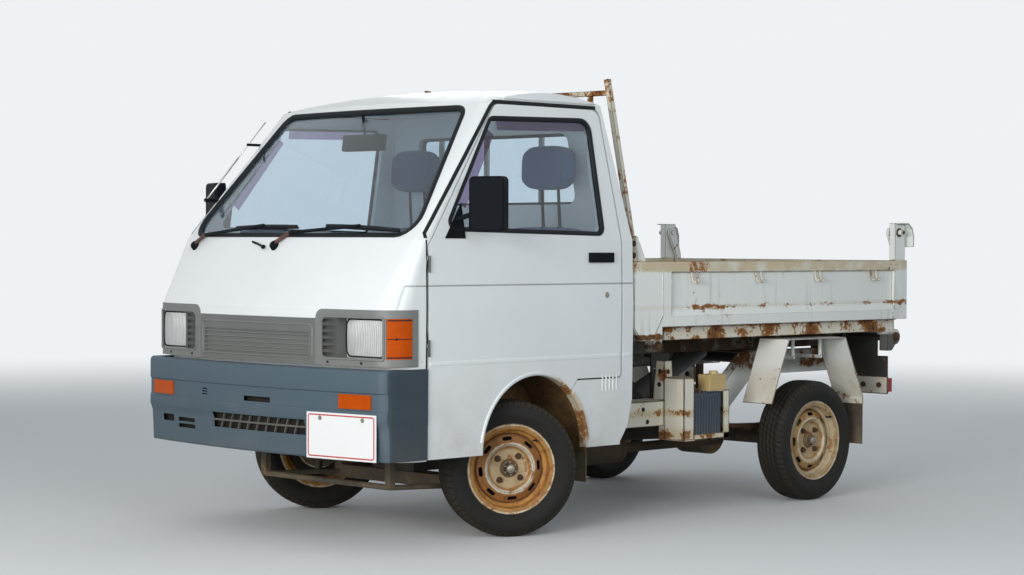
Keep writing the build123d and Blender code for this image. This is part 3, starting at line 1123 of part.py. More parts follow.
if __name__ == "__main__":
    os.makedirs("parts", exist_ok=True)
    cab = cab_body()
    skin = cab.pop("skin")
    room = cab.pop("room")
    trim = front_trim(skin)
    door, front = hang_door(cab.pop("door"), cab["front_panel"])
    cab["front_panel"] = front + trim.pop("strip")
    pane = cab.pop("door_pane")
    fittings = door_fittings(skin)
    cushions, backs = seats()
    rim, tyre = wheel_rim(), wheel_tyre()
    foot = steered(at_wheel(tyre, 0)).bounding_box().min.Z
    hub_z = TYRE_RADIUS - foot
    stand = knuckle(hub_z)
    front_rim, front_tyre = at_wheel(rim, 0, hub_z), at_wheel(tyre, 0, hub_z)
    rear_rim, rear_tyre = at_wheel(rim, REAR_AXLE_Y), at_wheel(tyre, REAR_AXLE_Y)
    nodes = {
        **cab, **trim,
        "door_left": door, "door_right": mirrored(door),
        "door_glass_left": pane, "door_glass_right": mirrored(pane),
        "door_fittings_left": fittings, "door_fittings_right": mirrored(fittings),
        "cab_floor": cab_floor(room), "arch_liners": arch_liners(), "dashboard": dashboard(room),
        "steering_wheel": steering_wheel(), "seat_cushions": cushions, "seat_backs": backs,
        "frame_rails": frame_rails(), "crossmembers": crossmembers(),
        "front_suspension": front_suspension(), "engine": engine(), "driveline": driveline(),
        "rear_axle": rear_axle(), "leaf_springs": leaf_springs(), "exhaust": exhaust(),
        "fuel_tank": fuel_tank(), "battery_box": battery_box(),
        "battery": block((470.0, 625.0), (1022.0, 1195.0), (BATTERY_TRAY_Z[1], 490.0)),
        "fluid_tank": block((500.0, 625.0), (SHELF_Y + 3, TRAY_REAR_Y - 8), (SHELF_Z, 562.0)),
        "mudguards": mudguards(), "mudflaps": mudflaps(), "rear_lamps": rear_lamps(),
        "knuckle_left": steered(stand), "knuckle_right": steered(stand, True),
        "rim_front_left": steered(front_rim), "rim_front_right": steered(front_rim, True),
        "tyre_front_left": steered(front_tyre), "tyre_front_right": steered(front_tyre, True),
        "rim_rear_left": rear_rim, "rim_rear_right": mirrored(rear_rim),
        "tyre_rear_left": rear_tyre, "tyre_rear_right": mirrored(rear_tyre),
        "bed_floor": bed_floor(), "bed_sides": bed_sides(), "headboard": headboard(),
        "guard_frame": guard_frame(), "tailgate": tailgate(),
        "lift_barrel": lift_barrel(), "lift_rod": lift_rod(),
    }
    for name, part in nodes.items():
        write(name, part)
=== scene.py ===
import math

import bmesh
import bpy
from mathutils import Matrix, Vector
from mathutils.bvhtree import BVHTree
from mathutils.geometry import interpolate_bezier


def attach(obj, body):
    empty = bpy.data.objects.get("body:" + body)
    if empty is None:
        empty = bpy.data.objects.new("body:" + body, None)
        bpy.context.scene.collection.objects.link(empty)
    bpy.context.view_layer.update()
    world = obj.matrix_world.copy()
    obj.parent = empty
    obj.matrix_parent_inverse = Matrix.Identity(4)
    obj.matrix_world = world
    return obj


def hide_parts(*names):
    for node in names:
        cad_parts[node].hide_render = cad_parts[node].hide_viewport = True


bl_info = {
    "name": "Light Dump Truck Dressing",
    "version": (1, 0, 0),
    "blender": (4, 5, 0),
    "location": "View3D > Sidebar > Dump Truck",
    "description": "Seals, lamps, trim, seats, fastenings and worn finishes for a light dump truck",
    "category": "Object",
}

# Places are in millimetres: X to the vehicle's left, Y from the front axle, Z from the ground.
AXLE_Y = -792.0
MM = 1000.0
# A place beyond the truck, from which rays look back at it.
FAR = 1200.0
SIDES = (("left", 1.0), ("right", -1.0))
# Lower end and direction of the left front strut, about which the wheel steers.
STRUT_FOOT = (548.0, 0.0, 175.0)
STRUT_WAY = (-0.19142217, 0.0, 0.9815078)
# Middle of the front wheel's opening along and up, and the radius of its lip's middle.
ARCH = (18.0, 328.0, 283.0)

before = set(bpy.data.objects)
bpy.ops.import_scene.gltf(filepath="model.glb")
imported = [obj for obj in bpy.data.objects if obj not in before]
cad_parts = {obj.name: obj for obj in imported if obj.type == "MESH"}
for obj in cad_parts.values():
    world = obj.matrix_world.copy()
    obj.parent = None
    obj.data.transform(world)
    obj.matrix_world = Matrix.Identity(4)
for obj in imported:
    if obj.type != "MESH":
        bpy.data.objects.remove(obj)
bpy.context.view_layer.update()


def at(x, y, z):
    """A place in metres in the frame from millimetres and the front axle's line."""
    return Vector((x, y + AXLE_Y, z)) / MM


# Values that a user would change


def length_property(name, description, default, low, high):
    """A length that the user may change."""
    return bpy.props.FloatProperty(
        name=name, description=description, default=default, min=low, max=high, subtype="DISTANCE",
        unit="LENGTH")


class TruckSizes(bpy.types.PropertyGroup):
    """Sizes of the dressing"""

    seal_width: length_property(
        "Seal Width", "Visible width of the window rubbers", 0.024, 0.01, 0.04)
    aerial_radius: length_property(
        "Aerial Radius", "Radius of the aerial's rod", 0.0022, 0.001, 0.005)
    nut_radius: length_property(
        "Wheel Nut Radius", "Radius of a wheel nut across its corners", 0.0115, 0.006, 0.02)
    seat_fill: bpy.props.FloatProperty(
        name="Seat Fill", description="How tight the seat pads are stuffed, 0 slack, 1 tight",
        default=0.7, min=0.0, max=1.0, subtype="FACTOR")
    hook_radius: length_property(
        "Rope Hook Radius", "Radius of the bent bars under the bed's top rail", 0.0042, 0.002, 0.008)
    studio_light: bpy.props.FloatProperty(
        name="Studio Light", description="Power in watts of which each soft lamp takes its share",
        default=300.0, min=0.0, max=4000.0)


def colour_property(name, description, default):
    """A colour that the user may change."""
    return bpy.props.FloatVectorProperty(
        name=name, description=description, default=default, size=3, min=0.0, max=1.0, subtype="COLOR")


class TruckColours(bpy.types.PropertyGroup):
    """Colours of the finishes"""

    body_white: colour_property("Body White", "Enamel of the cab", (0.79, 0.82, 0.83))
    bed_white: colour_property("Bed White", "Enamel of the bed and frame", (0.84, 0.87, 0.83))
    guard_cream: colour_property("Guard Cream", "Paint of the guard over the headboard", (0.66, 0.62, 0.52))
    grille_grey: colour_property("Grille Grey", "Moulded grille and lamp surrounds", (0.168, 0.176, 0.170))
    bumper_blue: colour_property("Bumper Blue Grey", "Weathered bumper moulding", (0.068, 0.102, 0.130))
    trim_black: colour_property("Trim Black", "Mirrors, handles and steering wheel", (0.005, 0.007, 0.010))
    seat_blue: colour_property("Seat Blue Grey", "Cloth of the seats", (0.045, 0.10, 0.20))
    lamp_amber: colour_property("Lamp Amber", "Turn signal lenses", (0.52, 0.075, 0.0))
    rust_dark: colour_property("Rust Dark", "Old rust", (0.05, 0.022, 0.01))
    rust_bright: colour_property("Rust Bright", "Fresh rust and its runs", (0.33, 0.13, 0.028))
    dust: colour_property("Dust", "Road dust low on the body", (0.26, 0.20, 0.12))
    yellow_stain: colour_property("Yellow Stain", "Rust water dried on the paint", (0.54, 0.39, 0.17))
    # Painted shade: this near-black darkens the parts under the bed, for their shade as well as old dirt.
    soot_and_shade: colour_property("Soot And Shade", "Old grease and dirt under the bed", (0.022, 0.017, 0.011))


# Node building


def add(tree, kind, inputs=(), **settings):
    """Adds a shader node, sets it and joins or sets its sockets, which are named or numbered."""
    node = tree.nodes.new("ShaderNode" + kind)
    for key, value in settings.items():
        setattr(node, key, value)
    for key, value in dict(inputs).items():
        socket = node.inputs[key]
        if isinstance(value, bpy.types.NodeSocket):
            tree.links.new(value, socket)
        else:
            socket.default_value = value
    return node


def calc(tree, operation, a, b=0.0, clamp=False):
    """One step of arithmetic on two values."""
    return add(tree, "Math", {0: a, 1: b}, operation=operation, use_clamp=clamp).outputs[0]


def times(tree, a, b, clamp=False):
    """The product of two values."""
    return calc(tree, "MULTIPLY", a, b, clamp)


def plus(tree, a, b, clamp=False):
    """The sum of two values."""
    return calc(tree, "ADD", a, b, clamp)


def minus(tree, a, b, clamp=False):
    """The difference of two values."""
    return calc(tree, "SUBTRACT", a, b, clamp)


def blend(tree, share, a, b, mode="MIX"):
    """One colour laid over another."""
    node = add(tree, "Mix", {0: share, 6: a, 7: b}, data_type="RGBA", blend_type=mode,
               clamp_factor=True)
    return node.outputs[2]


def ramp(tree, value, low, high, start=0.0, end=1.0):
    """Stretches the part of a value between two limits, and holds the ends."""
    inputs = {"Value": value, "From Min": low, "From Max": high, "To Min": start, "To Max": end}
    return add(tree, "MapRange", inputs, interpolation_type="SMOOTHSTEP").outputs[0]


def zone(tree, value, low, high, soft):
    """One between two limits, and nothing beyond a soft edge."""
    rise = ramp(tree, value, low - soft, low + soft)
    return times(tree, rise, ramp(tree, value, high + soft, high - soft))


def noise(tree, vector, scale, detail=4.0, rough=0.55, twist=0.0):
    """Fractal noise from 0 to 1."""
    inputs = {"Vector": vector, "Scale": scale, "Detail": detail, "Roughness": rough, "Distortion": twist}
    return add(tree, "TexNoise", inputs).outputs[0]


def place(tree):
    """The piece's own coordinates in metres."""
    return add(tree, "TexCoord").outputs["Object"]


def axes_of(tree, vector):
    """The three parts of a place."""
    return add(tree, "SeparateXYZ", {0: vector}).outputs


def reach_of(tree, a, b):
    """How far a place lies from the axis across two of its parts."""
    flat = add(tree, "CombineXYZ", {0: a, 1: b}).outputs[0]
    return add(tree, "VectorMath", {0: flat}, operation="LENGTH").outputs["Value"]


def scaled(tree, vector, scale):
    """Coordinates stretched along each axis."""
    return add(tree, "Mapping", {"Vector": vector, "Scale": scale}).outputs[0]


def new_group(name, inputs, outputs):
    """An empty shader group with named sockets: each is a kind, and an input has its default."""
    tree = bpy.data.node_groups.new(name, "ShaderNodeTree")
    kinds = {"value": "NodeSocketFloat", "colour": "NodeSocketColor", "vector": "NodeSocketVector"}
    for label, kind, default in inputs:
        socket = tree.interface.new_socket(name=label, in_out="INPUT", socket_type=kinds[kind])
        if default is not None:
            socket.default_value = default
    for label, kind in outputs:
        tree.interface.new_socket(name=label, in_out="OUTPUT", socket_type=kinds[kind])
    return tree, tree.nodes.new("NodeGroupInput").outputs, tree.nodes.new("NodeGroupOutput").inputs


def group_edge_wear():
    """Mask of worn outer edges, broken up by noise."""
    tree, given, out = new_group(
        "Edge Wear", [("Vector", "vector", None), ("Width", "value", 0.004), ("Amount", "value", 0.5)],
        [("Mask", "value")])
    bevel = add(tree, "Bevel", {"Radius": given["Width"]}, samples=6)
    flat = add(tree, "NewGeometry").outputs["Normal"]
    same = add(tree, "VectorMath", {0: bevel.outputs[0], 1: flat}, operation="DOT_PRODUCT")
    edge = ramp(tree, minus(tree, 1.0, same.outputs["Value"]), 0.005, 0.06)
    speck = noise(tree, given["Vector"], 42.0, 6.0, 0.7)
    need = minus(tree, 0.80, times(tree, given["Amount"], 0.55))
    kept = ramp(tree, minus(tree, speck, need), -0.03, 0.03)
    tree.links.new(times(tree, edge, kept), out["Mask"])
    return tree


def group_rust():
    """Patches of rust with a bright rim and a dark middle."""
    tree, given, out = new_group(
        "Rust", [("Vector", "vector", None), ("Scale", "value", 6.0), ("Amount", "value", 0.3),
                 ("Push", "value", 0.0), ("Dark", "colour", (0.05, 0.022, 0.01, 1)),
                 ("Bright", "colour", (0.33, 0.13, 0.028, 1))],
        [("Mask", "value"), ("Colour", "colour"), ("Height", "value")])
    big = noise(tree, given["Vector"], given["Scale"], 8.0, 0.68, 0.4)
    fine = noise(tree, given["Vector"], 90.0, 6.0, 0.7)
    level = plus(tree, times(tree, big, 0.8), times(tree, fine, 0.2))
    level = plus(tree, level, given["Push"])
    need = minus(tree, 0.74, times(tree, given["Amount"], 0.42))
    over = minus(tree, level, need)
    tree.links.new(ramp(tree, over, -0.012, 0.02), out["Mask"])
    depth = ramp(tree, plus(tree, over, times(tree, minus(tree, fine, 0.5), 0.22)), 0.0, 0.15)
    tree.links.new(blend(tree, depth, given["Bright"], given["Dark"]), out["Colour"])
    tree.links.new(times(tree, fine, ramp(tree, over, -0.012, 0.02)), out["Height"])
    return tree


def group_streaks():
    """Runs of dirty water down a standing surface."""
    tree, given, out = new_group(
        "Streaks", [("Vector", "vector", None), ("Scale", "value", 30.0), ("Amount", "value", 0.3)],
        [("Mask", "value")])
    tall = scaled(tree, given["Vector"], (1.0, 1.0, 0.06))
    runs = noise(tree, tall, given["Scale"], 4.0, 0.6)
    broken = noise(tree, given["Vector"], 5.0, 3.0, 0.5)
    level = plus(tree, times(tree, runs, 0.7), times(tree, broken, 0.3))
    need = minus(tree, 0.70, times(tree, given["Amount"], 0.3))
    tree.links.new(ramp(tree, minus(tree, level, need), 0.0, 0.16), out["Mask"])
    return tree


def group_grime():
    """Dust that thickens towards the ground between two heights."""
    tree, given, out = new_group(
        "Grime", [("Vector", "vector", None), ("Low", "value", 0.3), ("High", "value", 0.9),
                  ("Amount", "value", 0.5)], [("Mask", "value")])
    height = axes_of(tree, given["Vector"])[2]
    fall = add(tree, "MapRange", {
        "Value": height, "From Min": given["High"], "From Max": given["Low"], "To Min": 0.0, "To Max": 1.0,
    }).outputs[0]
    cloud = noise(tree, given["Vector"], 7.0, 6.0, 0.65)
    fleck = noise(tree, given["Vector"], 120.0, 3.0, 0.6)
    mixed = plus(tree, times(tree, cloud, 0.75), times(tree, fleck, 0.25))
    mask = times(tree, times(tree, fall, fall), ramp(tree, mixed, 0.3, 0.7, 0.25, 1.25))
    tree.links.new(times(tree, mask, given["Amount"], True), out["Mask"])
    return tree


def group_crease():
    """Height of the pressed lines that run along the body at two levels."""
    tree, given, out = new_group(
        "Pressed Lines", [("Vector", "vector", None), ("Upper", "value", 0.942), ("Lower", "value", 0.662)],
        [("Height", "value")])
    height = axes_of(tree, given["Vector"])[2]
    total = None
    for label in ("Upper", "Lower"):
        gap = minus(tree, height, given[label])
        step = ramp(tree, gap, -0.005, 0.005)
        total = step if total is None else minus(tree, total, step)
    tree.links.new(total, out["Height"])
    return tree


GROUPS = {
    "Edge Wear": group_edge_wear, "Rust": group_rust, "Streaks": group_streaks, "Grime": group_grime,
    "Pressed Lines": group_crease,
}


def effect(tree, name, **inputs):
    """Places a shared effect, which is built on first use."""
    node = tree.nodes.new("ShaderNodeGroup")
    node.node_tree = bpy.data.node_groups.get(name) or GROUPS[name]()
    for label, value in inputs.items():
        socket = node.inputs[label]
        if isinstance(value, bpy.types.NodeSocket):
            tree.links.new(value, socket)
        else:
            socket.default_value = value
    return node.outputs


def rgba(colour, share=1.0):
    """A colour with full cover, or a darker or brighter one."""
    return (*(part * share for part in colour), 1.0)


def new_material(name):
    """An empty material with its nodes, its shader and the piece's own coordinates."""
    material = bpy.data.materials.new(name)
    material.use_nodes = True
    tree = material.node_tree
    shader = next(node for node in tree.nodes if node.type == "BSDF_PRINCIPLED")
    return material, tree, shader, place(tree)


def feed(shader, label, value):
    """Joins a value to a socket of the shader."""
    shader.id_data.links.new(value, shader.inputs[label])


def dress(shader, base, rough):
    """Feeds a colour and a roughness to the shader."""
    feed(shader, "Base Color", base)
    feed(shader, "Roughness", rough)


def relief(tree, shader, height, strength, distance):
    """Feeds a height to the shader's normal."""
    bump = add(tree, "Bump", {"Height": height, "Strength": strength, "Distance": distance})
    feed(shader, "Normal", bump.outputs[0])


# Materials


def bands_of(tree, spot, bands):
    """Adds up belts of rust, stain and a near-black of soot and painted shade, each between two heights with
    a soft edge.
    """
    height = axes_of(tree, spot)[2]
    ragged = times(tree, minus(tree, noise(tree, spot, 22.0, 5.0, 0.65), 0.5), 0.03)
    level = plus(tree, height, ragged)
    sums = [0.0, 0.0, 0.0]
    for low, high, soft, *shares in bands:
        mask = zone(tree, level, low, high, soft)
        for index, share in enumerate(shares):
            if share:
                sums[index] = plus(tree, sums[index], times(tree, mask, share), True)
    return sums


# Inner and outer radius in metres of the stained belt round the front wheel's opening.
ARCH_BELT = (0.262, 0.286)


def arch_mask(tree, spot):
    """A belt round the rear half of the front wheel's opening."""
    middle = at(0.0, ARCH[0], ARCH[1])
    there = add(tree, "VectorMath", {0: spot, 1: middle}, operation="SUBTRACT").outputs[0]
    parts = axes_of(tree, there)
    reach = reach_of(tree, parts[1], parts[2])
    belt = zone(tree, reach, *ARCH_BELT, 0.006)
    return times(tree, belt, ramp(tree, parts[1], 0.02, 0.16))


# In metres: between which reaches the body's flank begins, the lower and upper edge of the painted shade in
# the upper pressed line, and how far out and between which places along the truck the painted shade in the
# gap at the door's hinges shows.
FLANK = (0.674, 0.682)
CREASE_SHADE = (0.9405, 0.9435)
HINGE_REACH = (0.6952, 0.6956)
HINGE_GAP = (-1.334, -1.319)


def worn_paint(name, colour, gloss=0.32, rust=0.1, rust_scale=6.0, edge=0.3, grime=(0.3, 0.8, 0.4),
               streaks=0.2, crease=False, coat=0.25, bands=()):
    """Enamel with faded patches, rust at edges and in spots, rain streaks, road dust, stained belts and belts
    of soot and painted shade; where crease is set, also painted shade in the upper pressed line and in the
    gap at the door's hinges.
    """
    colours = bpy.context.scene.truck_colours
    material, tree, shader, spot = new_material(name)
    fade = noise(tree, spot, 2.3, 5.0, 0.6)
    base = blend(tree, ramp(tree, fade, 0.3, 0.75, 0.0, 0.35), rgba(colour), rgba(colour, 0.86))
    runs = effect(tree, "Streaks", Vector=spot, Amount=streaks)["Mask"]
    stain = rgba([a * 0.55 + b * 0.25 for a, b in zip(colour, colours.dust)])
    base = blend(tree, times(tree, runs, 0.55), base, stain)
    worn = effect(tree, "Edge Wear", Vector=spot, Amount=edge)["Mask"]
    dark, bright = rgba(colours.rust_dark), rgba(colours.rust_bright)
    rusty, stained, dirt_and_shade_belts = bands_of(tree, spot, bands)
    if crease:
        parts = axes_of(tree, spot)
        reach = calc(tree, "ABSOLUTE", parts[0])
        flank = ramp(tree, reach, *FLANK)
        # Painted shade: the upper pressed line and the gap at the door's hinges are darkened nearly to black.
        crease_shade = times(tree, zone(tree, parts[2], *CREASE_SHADE, 0.0008), times(tree, flank, 0.6))
        hinge_gap_shade = times(tree, ramp(tree, reach, *HINGE_REACH), zone(tree, parts[1], *HINGE_GAP, 0.0005))
        base = blend(tree, calc(tree, "MAXIMUM", crease_shade, hinge_gap_shade), base, rgba(colour, 0.03))
        arch = arch_mask(tree, spot)
        rusty = plus(tree, rusty, times(tree, arch, 0.22))
        stained = plus(tree, stained, times(tree, arch, 0.8), True)
    patchy = ramp(tree, noise(tree, spot, 12.0, 5.0, 0.65), 0.25, 0.6, 0.35, 1.0)
    base = blend(tree, times(tree, stained, patchy), base, rgba(colours.yellow_stain))
    push = plus(tree, times(tree, worn, 0.35 * min(1.0, edge * 1.6)), rusty)
    eaten = effect(tree, "Rust", Vector=spot, Scale=rust_scale, Amount=rust, Push=push, Dark=dark,
                   Bright=bright)
    base = blend(tree, eaten["Mask"], base, eaten["Colour"])
    low, high, amount = grime
    dirt = effect(tree, "Grime", Vector=spot, Low=low, High=high, Amount=amount)["Mask"]
    base = blend(tree, dirt, base, rgba(colours.dust))
    # Painted shade: the dark belts under the bed, for their shade as well as old dirt.
    base = blend(tree, dirt_and_shade_belts, base, rgba(colours.soot_and_shade))
    feed(shader, "Base Color", base)
    dull = calc(tree, "MAXIMUM", calc(tree, "MAXIMUM", eaten["Mask"], dirt), dirt_and_shade_belts)
    scratch = noise(tree, spot, 16.0, 6.0, 0.6)
    rough = plus(tree, ramp(tree, scratch, 0.2, 0.8, gloss - 0.05, gloss + 0.1), times(tree, dull, 0.5), True)
    feed(shader, "Roughness", rough)
    feed(shader, "Coat Weight", times(tree, minus(tree, 1.0, dull, True), coat))
    shader.inputs["Coat Roughness"].default_value = 0.18
    waves = times(tree, noise(tree, spot, 3.0, 2.0, 0.4), 0.8)
    height = plus(tree, eaten["Height"], waves)
    if crease:
        lines = effect(tree, "Pressed Lines", Vector=spot)["Height"]
        height = plus(tree, height, times(tree, times(tree, lines, flank), 9.0))
    relief(tree, shader, height, 0.5, 0.0012)
    return material


def moulded(name, colour, rough, fade=0.3, grime=(0.2, 0.8, 0.3), painted_shade=None, deep=0.3, shine=0.5):
    """Moulded plastic with a fine grain, chalky fading, dust, and painted shade in one given zone."""
    colours = bpy.context.scene.truck_colours
    material, tree, shader, spot = new_material(name)
    cloud = noise(tree, spot, 4.0, 6.0, 0.65)
    pale = rgba([c + (0.45 - c) * 0.3 for c in colour])
    base = blend(tree, ramp(tree, cloud, 0.45, 0.8, 0.0, fade), rgba(colour), pale)
    runs = effect(tree, "Streaks", Vector=spot, Scale=45.0, Amount=0.35)["Mask"]
    base = blend(tree, times(tree, runs, 0.4 * fade), base, pale)
    # Painted shade: the given zone across and up is darkened to a share deep of the colour.
    if painted_shade:
        parts = axes_of(tree, spot)
        inner = zone(tree, calc(tree, "ABSOLUTE", parts[0]), painted_shade[0], painted_shade[1], 0.0006)
        inner = times(tree, inner, zone(tree, parts[2], painted_shade[2], painted_shade[3], 0.0006))
        base = blend(tree, inner, base, rgba(colour, deep))
    low, high, amount = grime
    dirt = effect(tree, "Grime", Vector=spot, Low=low, High=high, Amount=amount)["Mask"]
    base = blend(tree, dirt, base, rgba(colours.dust))
    dress(shader, base, ramp(tree, cloud, 0.2, 0.8, rough - 0.08, rough + 0.12))
    shader.inputs["Specular IOR Level"].default_value = shine
    relief(tree, shader, noise(tree, spot, 260.0, 3.0, 0.5), 0.25, 0.0008)
    return material


def rusted_metal(name, colour=(0.10, 0.048, 0.02), dark=0.55, rough=0.82):
    """Bare metal that has rusted all over."""
    material, tree, shader, spot = new_material(name)
    big = noise(tree, spot, 11.0, 8.0, 0.7)
    fine = noise(tree, spot, 130.0, 6.0, 0.7)
    base = blend(tree, ramp(tree, big, 0.35, 0.65), rgba(colour, dark), rgba(colour))
    base = blend(tree, ramp(tree, fine, 0.5, 0.75, 0.0, 0.6), base, rgba(colour, 1.9))
    dress(shader, base, ramp(tree, fine, 0.2, 0.8, rough - 0.12, rough + 0.1))
    shader.inputs["Metallic"].default_value = 0.15
    relief(tree, shader, fine, 0.6, 0.0015)
    return material


def wheel_paint(name, matrix, tones, rust):
    """Wheel enamel whose paint and rust change ring by ring from the hub outwards; the pale ring on the
    raised bead is partly painted highlight.
    """
    colours = bpy.context.scene.truck_colours
    material, tree, shader, spot = new_material(name)
    pose = {"Vector": spot, "Location": matrix.to_translation(), "Rotation": matrix.to_euler()}
    there = add(tree, "Mapping", pose, vector_type="TEXTURE").outputs[0]
    parts = axes_of(tree, there)
    reach = reach_of(tree, parts[1], parts[2])
    ragged = times(tree, minus(tree, noise(tree, spot, 30.0, 4.0, 0.6), 0.5), 0.012)
    reach = plus(tree, reach, ragged)
    base = rgba(tones[0][1])
    for radius, tone in tones[1:]:
        base = blend(tree, ramp(tree, reach, (radius - 3.0) / MM, (radius + 3.0) / MM), base, rgba(tone))
    cloud = noise(tree, spot, 24.0, 6.0, 0.7)
    base = blend(tree, ramp(tree, cloud, 0.35, 0.7, 0.0, 0.5), base, rgba(colours.yellow_stain), "MULTIPLY")
    worn = effect(tree, "Edge Wear", Vector=spot, Amount=0.8)["Mask"]
    dark, bright = rgba(colours.rust_dark), rgba(colours.rust_bright)
    eaten = effect(tree, "Rust", Vector=spot, Scale=16.0, Amount=rust, Push=times(tree, worn, 0.2),
                   Dark=dark, Bright=bright)
    base = blend(tree, times(tree, eaten["Mask"], 0.85), base, eaten["Colour"])
    dress(shader, base, ramp(tree, cloud, 0.2, 0.8, 0.5, 0.85))
    relief(tree, shader, eaten["Height"], 0.6, 0.0015)
    return material


def bright_metal(name, colour=(0.5, 0.5, 0.48), rough=0.3):
    """Machined or plated steel with light stains."""
    material, tree, shader, spot = new_material(name)
    cloud = noise(tree, spot, 30.0, 6.0, 0.6)
    base = blend(tree, ramp(tree, cloud, 0.5, 0.8, 0.0, 0.7), rgba(colour), rgba(colour, 0.45))
    dress(shader, base, ramp(tree, cloud, 0.2, 0.8, rough - 0.1, rough + 0.25))
    shader.inputs["Metallic"].default_value = 0.9
    relief(tree, shader, cloud, 0.15, 0.0004)
    return material


def tyre_rubber():
    """Plain tyre rubber with brown dust."""
    material, tree, shader, spot = new_material("tyre_rubber")
    cloud = noise(tree, spot, 14.0, 6.0, 0.65)
    black, dust = rgba((0.010, 0.010, 0.010)), rgba((0.032, 0.026, 0.018))
    base = blend(tree, ramp(tree, cloud, 0.4, 0.8, 0.0, 0.55), black, dust)
    dress(shader, base, ramp(tree, cloud, 0.2, 0.8, 0.62, 0.9))
    relief(tree, shader, noise(tree, spot, 180.0, 4.0, 0.6), 0.35, 0.001)
    return material


def tyre_tread():
    """Rubber with cross grooves over the tread, darkened in them as painted shade, and fine rings on the
    walls, by the wheel's own map.
    """
    material, tree, shader, spot = new_material("tyre_tread")
    flat = axes_of(tree, add(tree, "UVMap", uv_map="wheel").outputs[0])
    around, across = flat[0], flat[1]
    reach = calc(tree, "ABSOLUTE", across)
    tread = ramp(tree, reach, 0.0635, 0.0625)
    lean = plus(tree, times(tree, around, 64.0), times(tree, across, 22.0))
    groove = ramp(tree, calc(tree, "ABSOLUTE", minus(tree, calc(tree, "FRACT", lean), 0.5)), 0.06, 0.12)
    lean = minus(tree, times(tree, around, 128.0), times(tree, across, 60.0))
    sipe = ramp(tree, calc(tree, "ABSOLUTE", minus(tree, calc(tree, "FRACT", lean), 0.5)), 0.05, 0.09)
    blocks = calc(tree, "MINIMUM", groove, ramp(tree, sipe, 0.0, 1.0, 0.6, 1.0))
    blocks = plus(tree, times(tree, blocks, tread), minus(tree, 1.0, tread))
    rings = times(tree, calc(tree, "SINE", times(tree, reach, 1500.0)), 0.06)
    cloud = noise(tree, spot, 14.0, 6.0, 0.65)
    speck = noise(tree, spot, 170.0, 4.0, 0.6)
    black, dust = rgba((0.0095, 0.0095, 0.0095)), rgba((0.030, 0.025, 0.018))
    base = blend(tree, ramp(tree, cloud, 0.35, 0.8, 0.0, 0.6), black, dust)
    dirt = times(tree, tread, ramp(tree, speck, 0.3, 0.7, 0.35, 0.8))
    base = blend(tree, dirt, base, rgba((0.040, 0.031, 0.020)))
    # Painted shade: the grooves between the tread blocks are darker.
    base = blend(tree, ramp(tree, blocks, 1.0, 0.0, 0.0, 0.85), base, rgba((0.006, 0.005, 0.005)))
    dress(shader, base, ramp(tree, cloud, 0.2, 0.8, 0.62, 0.9))
    shader.inputs["Specular IOR Level"].default_value = 0.25
    height = plus(tree, plus(tree, blocks, rings), times(tree, speck, 0.08))
    relief(tree, shader, height, 0.9, 0.003)
    return material


def window_glass(name, tint=(0.93, 0.97, 0.97)):
    """Clear pane with faint wiping marks."""
    material, tree, shader, spot = new_material(name)
    marks = noise(tree, spot, 5.0, 6.0, 0.6)
    feed(shader, "Roughness", ramp(tree, marks, 0.45, 0.8, 0.0, 0.05))
    base = blend(tree, ramp(tree, marks, 0.5, 0.9, 0.0, 0.2), rgba(tint), rgba(tint, 0.92))
    feed(shader, "Base Color", base)
    shader.inputs["Transmission Weight"].default_value = 1.0
    shader.inputs["IOR"].default_value = 1.45
    return material


def lamp_glass(name, colour, fins=(1.0, 0.0, 0.0), pitch=170.0, rough=0.12, see=0.75, shine=0.5):
    """Pressed lens glass with ribs inside it."""
    material, tree, shader, spot = new_material(name)
    ribs = add(tree, "TexWave", {
        "Vector": scaled(tree, spot, fins), "Scale": pitch / 6.2832 * 2.0, "Distortion": 0.0, "Detail": 0.0},
        wave_type="BANDS", bands_direction="X", wave_profile="SIN").outputs[1]
    cloud = noise(tree, spot, 20.0, 5.0, 0.6)
    base = blend(tree, ramp(tree, cloud, 0.4, 0.8, 0.0, 0.5), rgba(colour), rgba(colour, 0.75))
    dress(shader, base, ramp(tree, cloud, 0.2, 0.8, rough - 0.05, rough + 0.12))
    shader.inputs["Transmission Weight"].default_value = see
    shader.inputs["IOR"].default_value = 1.49
    shader.inputs["Specular IOR Level"].default_value = shine
    relief(tree, shader, ribs, 0.9, 0.003)
    return material


def seat_cloth():
    """Woven seat cloth with a fine rib."""
    colours = bpy.context.scene.truck_colours
    material, tree, shader, spot = new_material("seat_cloth")
    weft = add(tree, "TexWave", {"Vector": spot, "Scale": 320.0, "Distortion": 0.6, "Detail": 1.0},
               wave_type="BANDS", bands_direction="Z").outputs[1]
    warp = add(tree, "TexWave", {"Vector": spot, "Scale": 320.0, "Distortion": 0.6, "Detail": 1.0},
               wave_type="BANDS", bands_direction="X").outputs[1]
    weave = times(tree, weft, warp)
    cloud = noise(tree, spot, 9.0, 5.0, 0.6)
    tone = rgba(colours.seat_blue)
    base = blend(tree, ramp(tree, cloud, 0.3, 0.8, 0.0, 0.5), tone, rgba(colours.seat_blue, 1.5))
    base = blend(tree, times(tree, weave, 0.4), base, rgba(colours.seat_blue, 0.5))
    dress(shader, base, ramp(tree, cloud, 0.2, 0.8, 0.82, 0.95))
    shader.inputs["Sheen Weight"].default_value = 0.25
    relief(tree, shader, weave, 0.5, 0.0008)
    return material


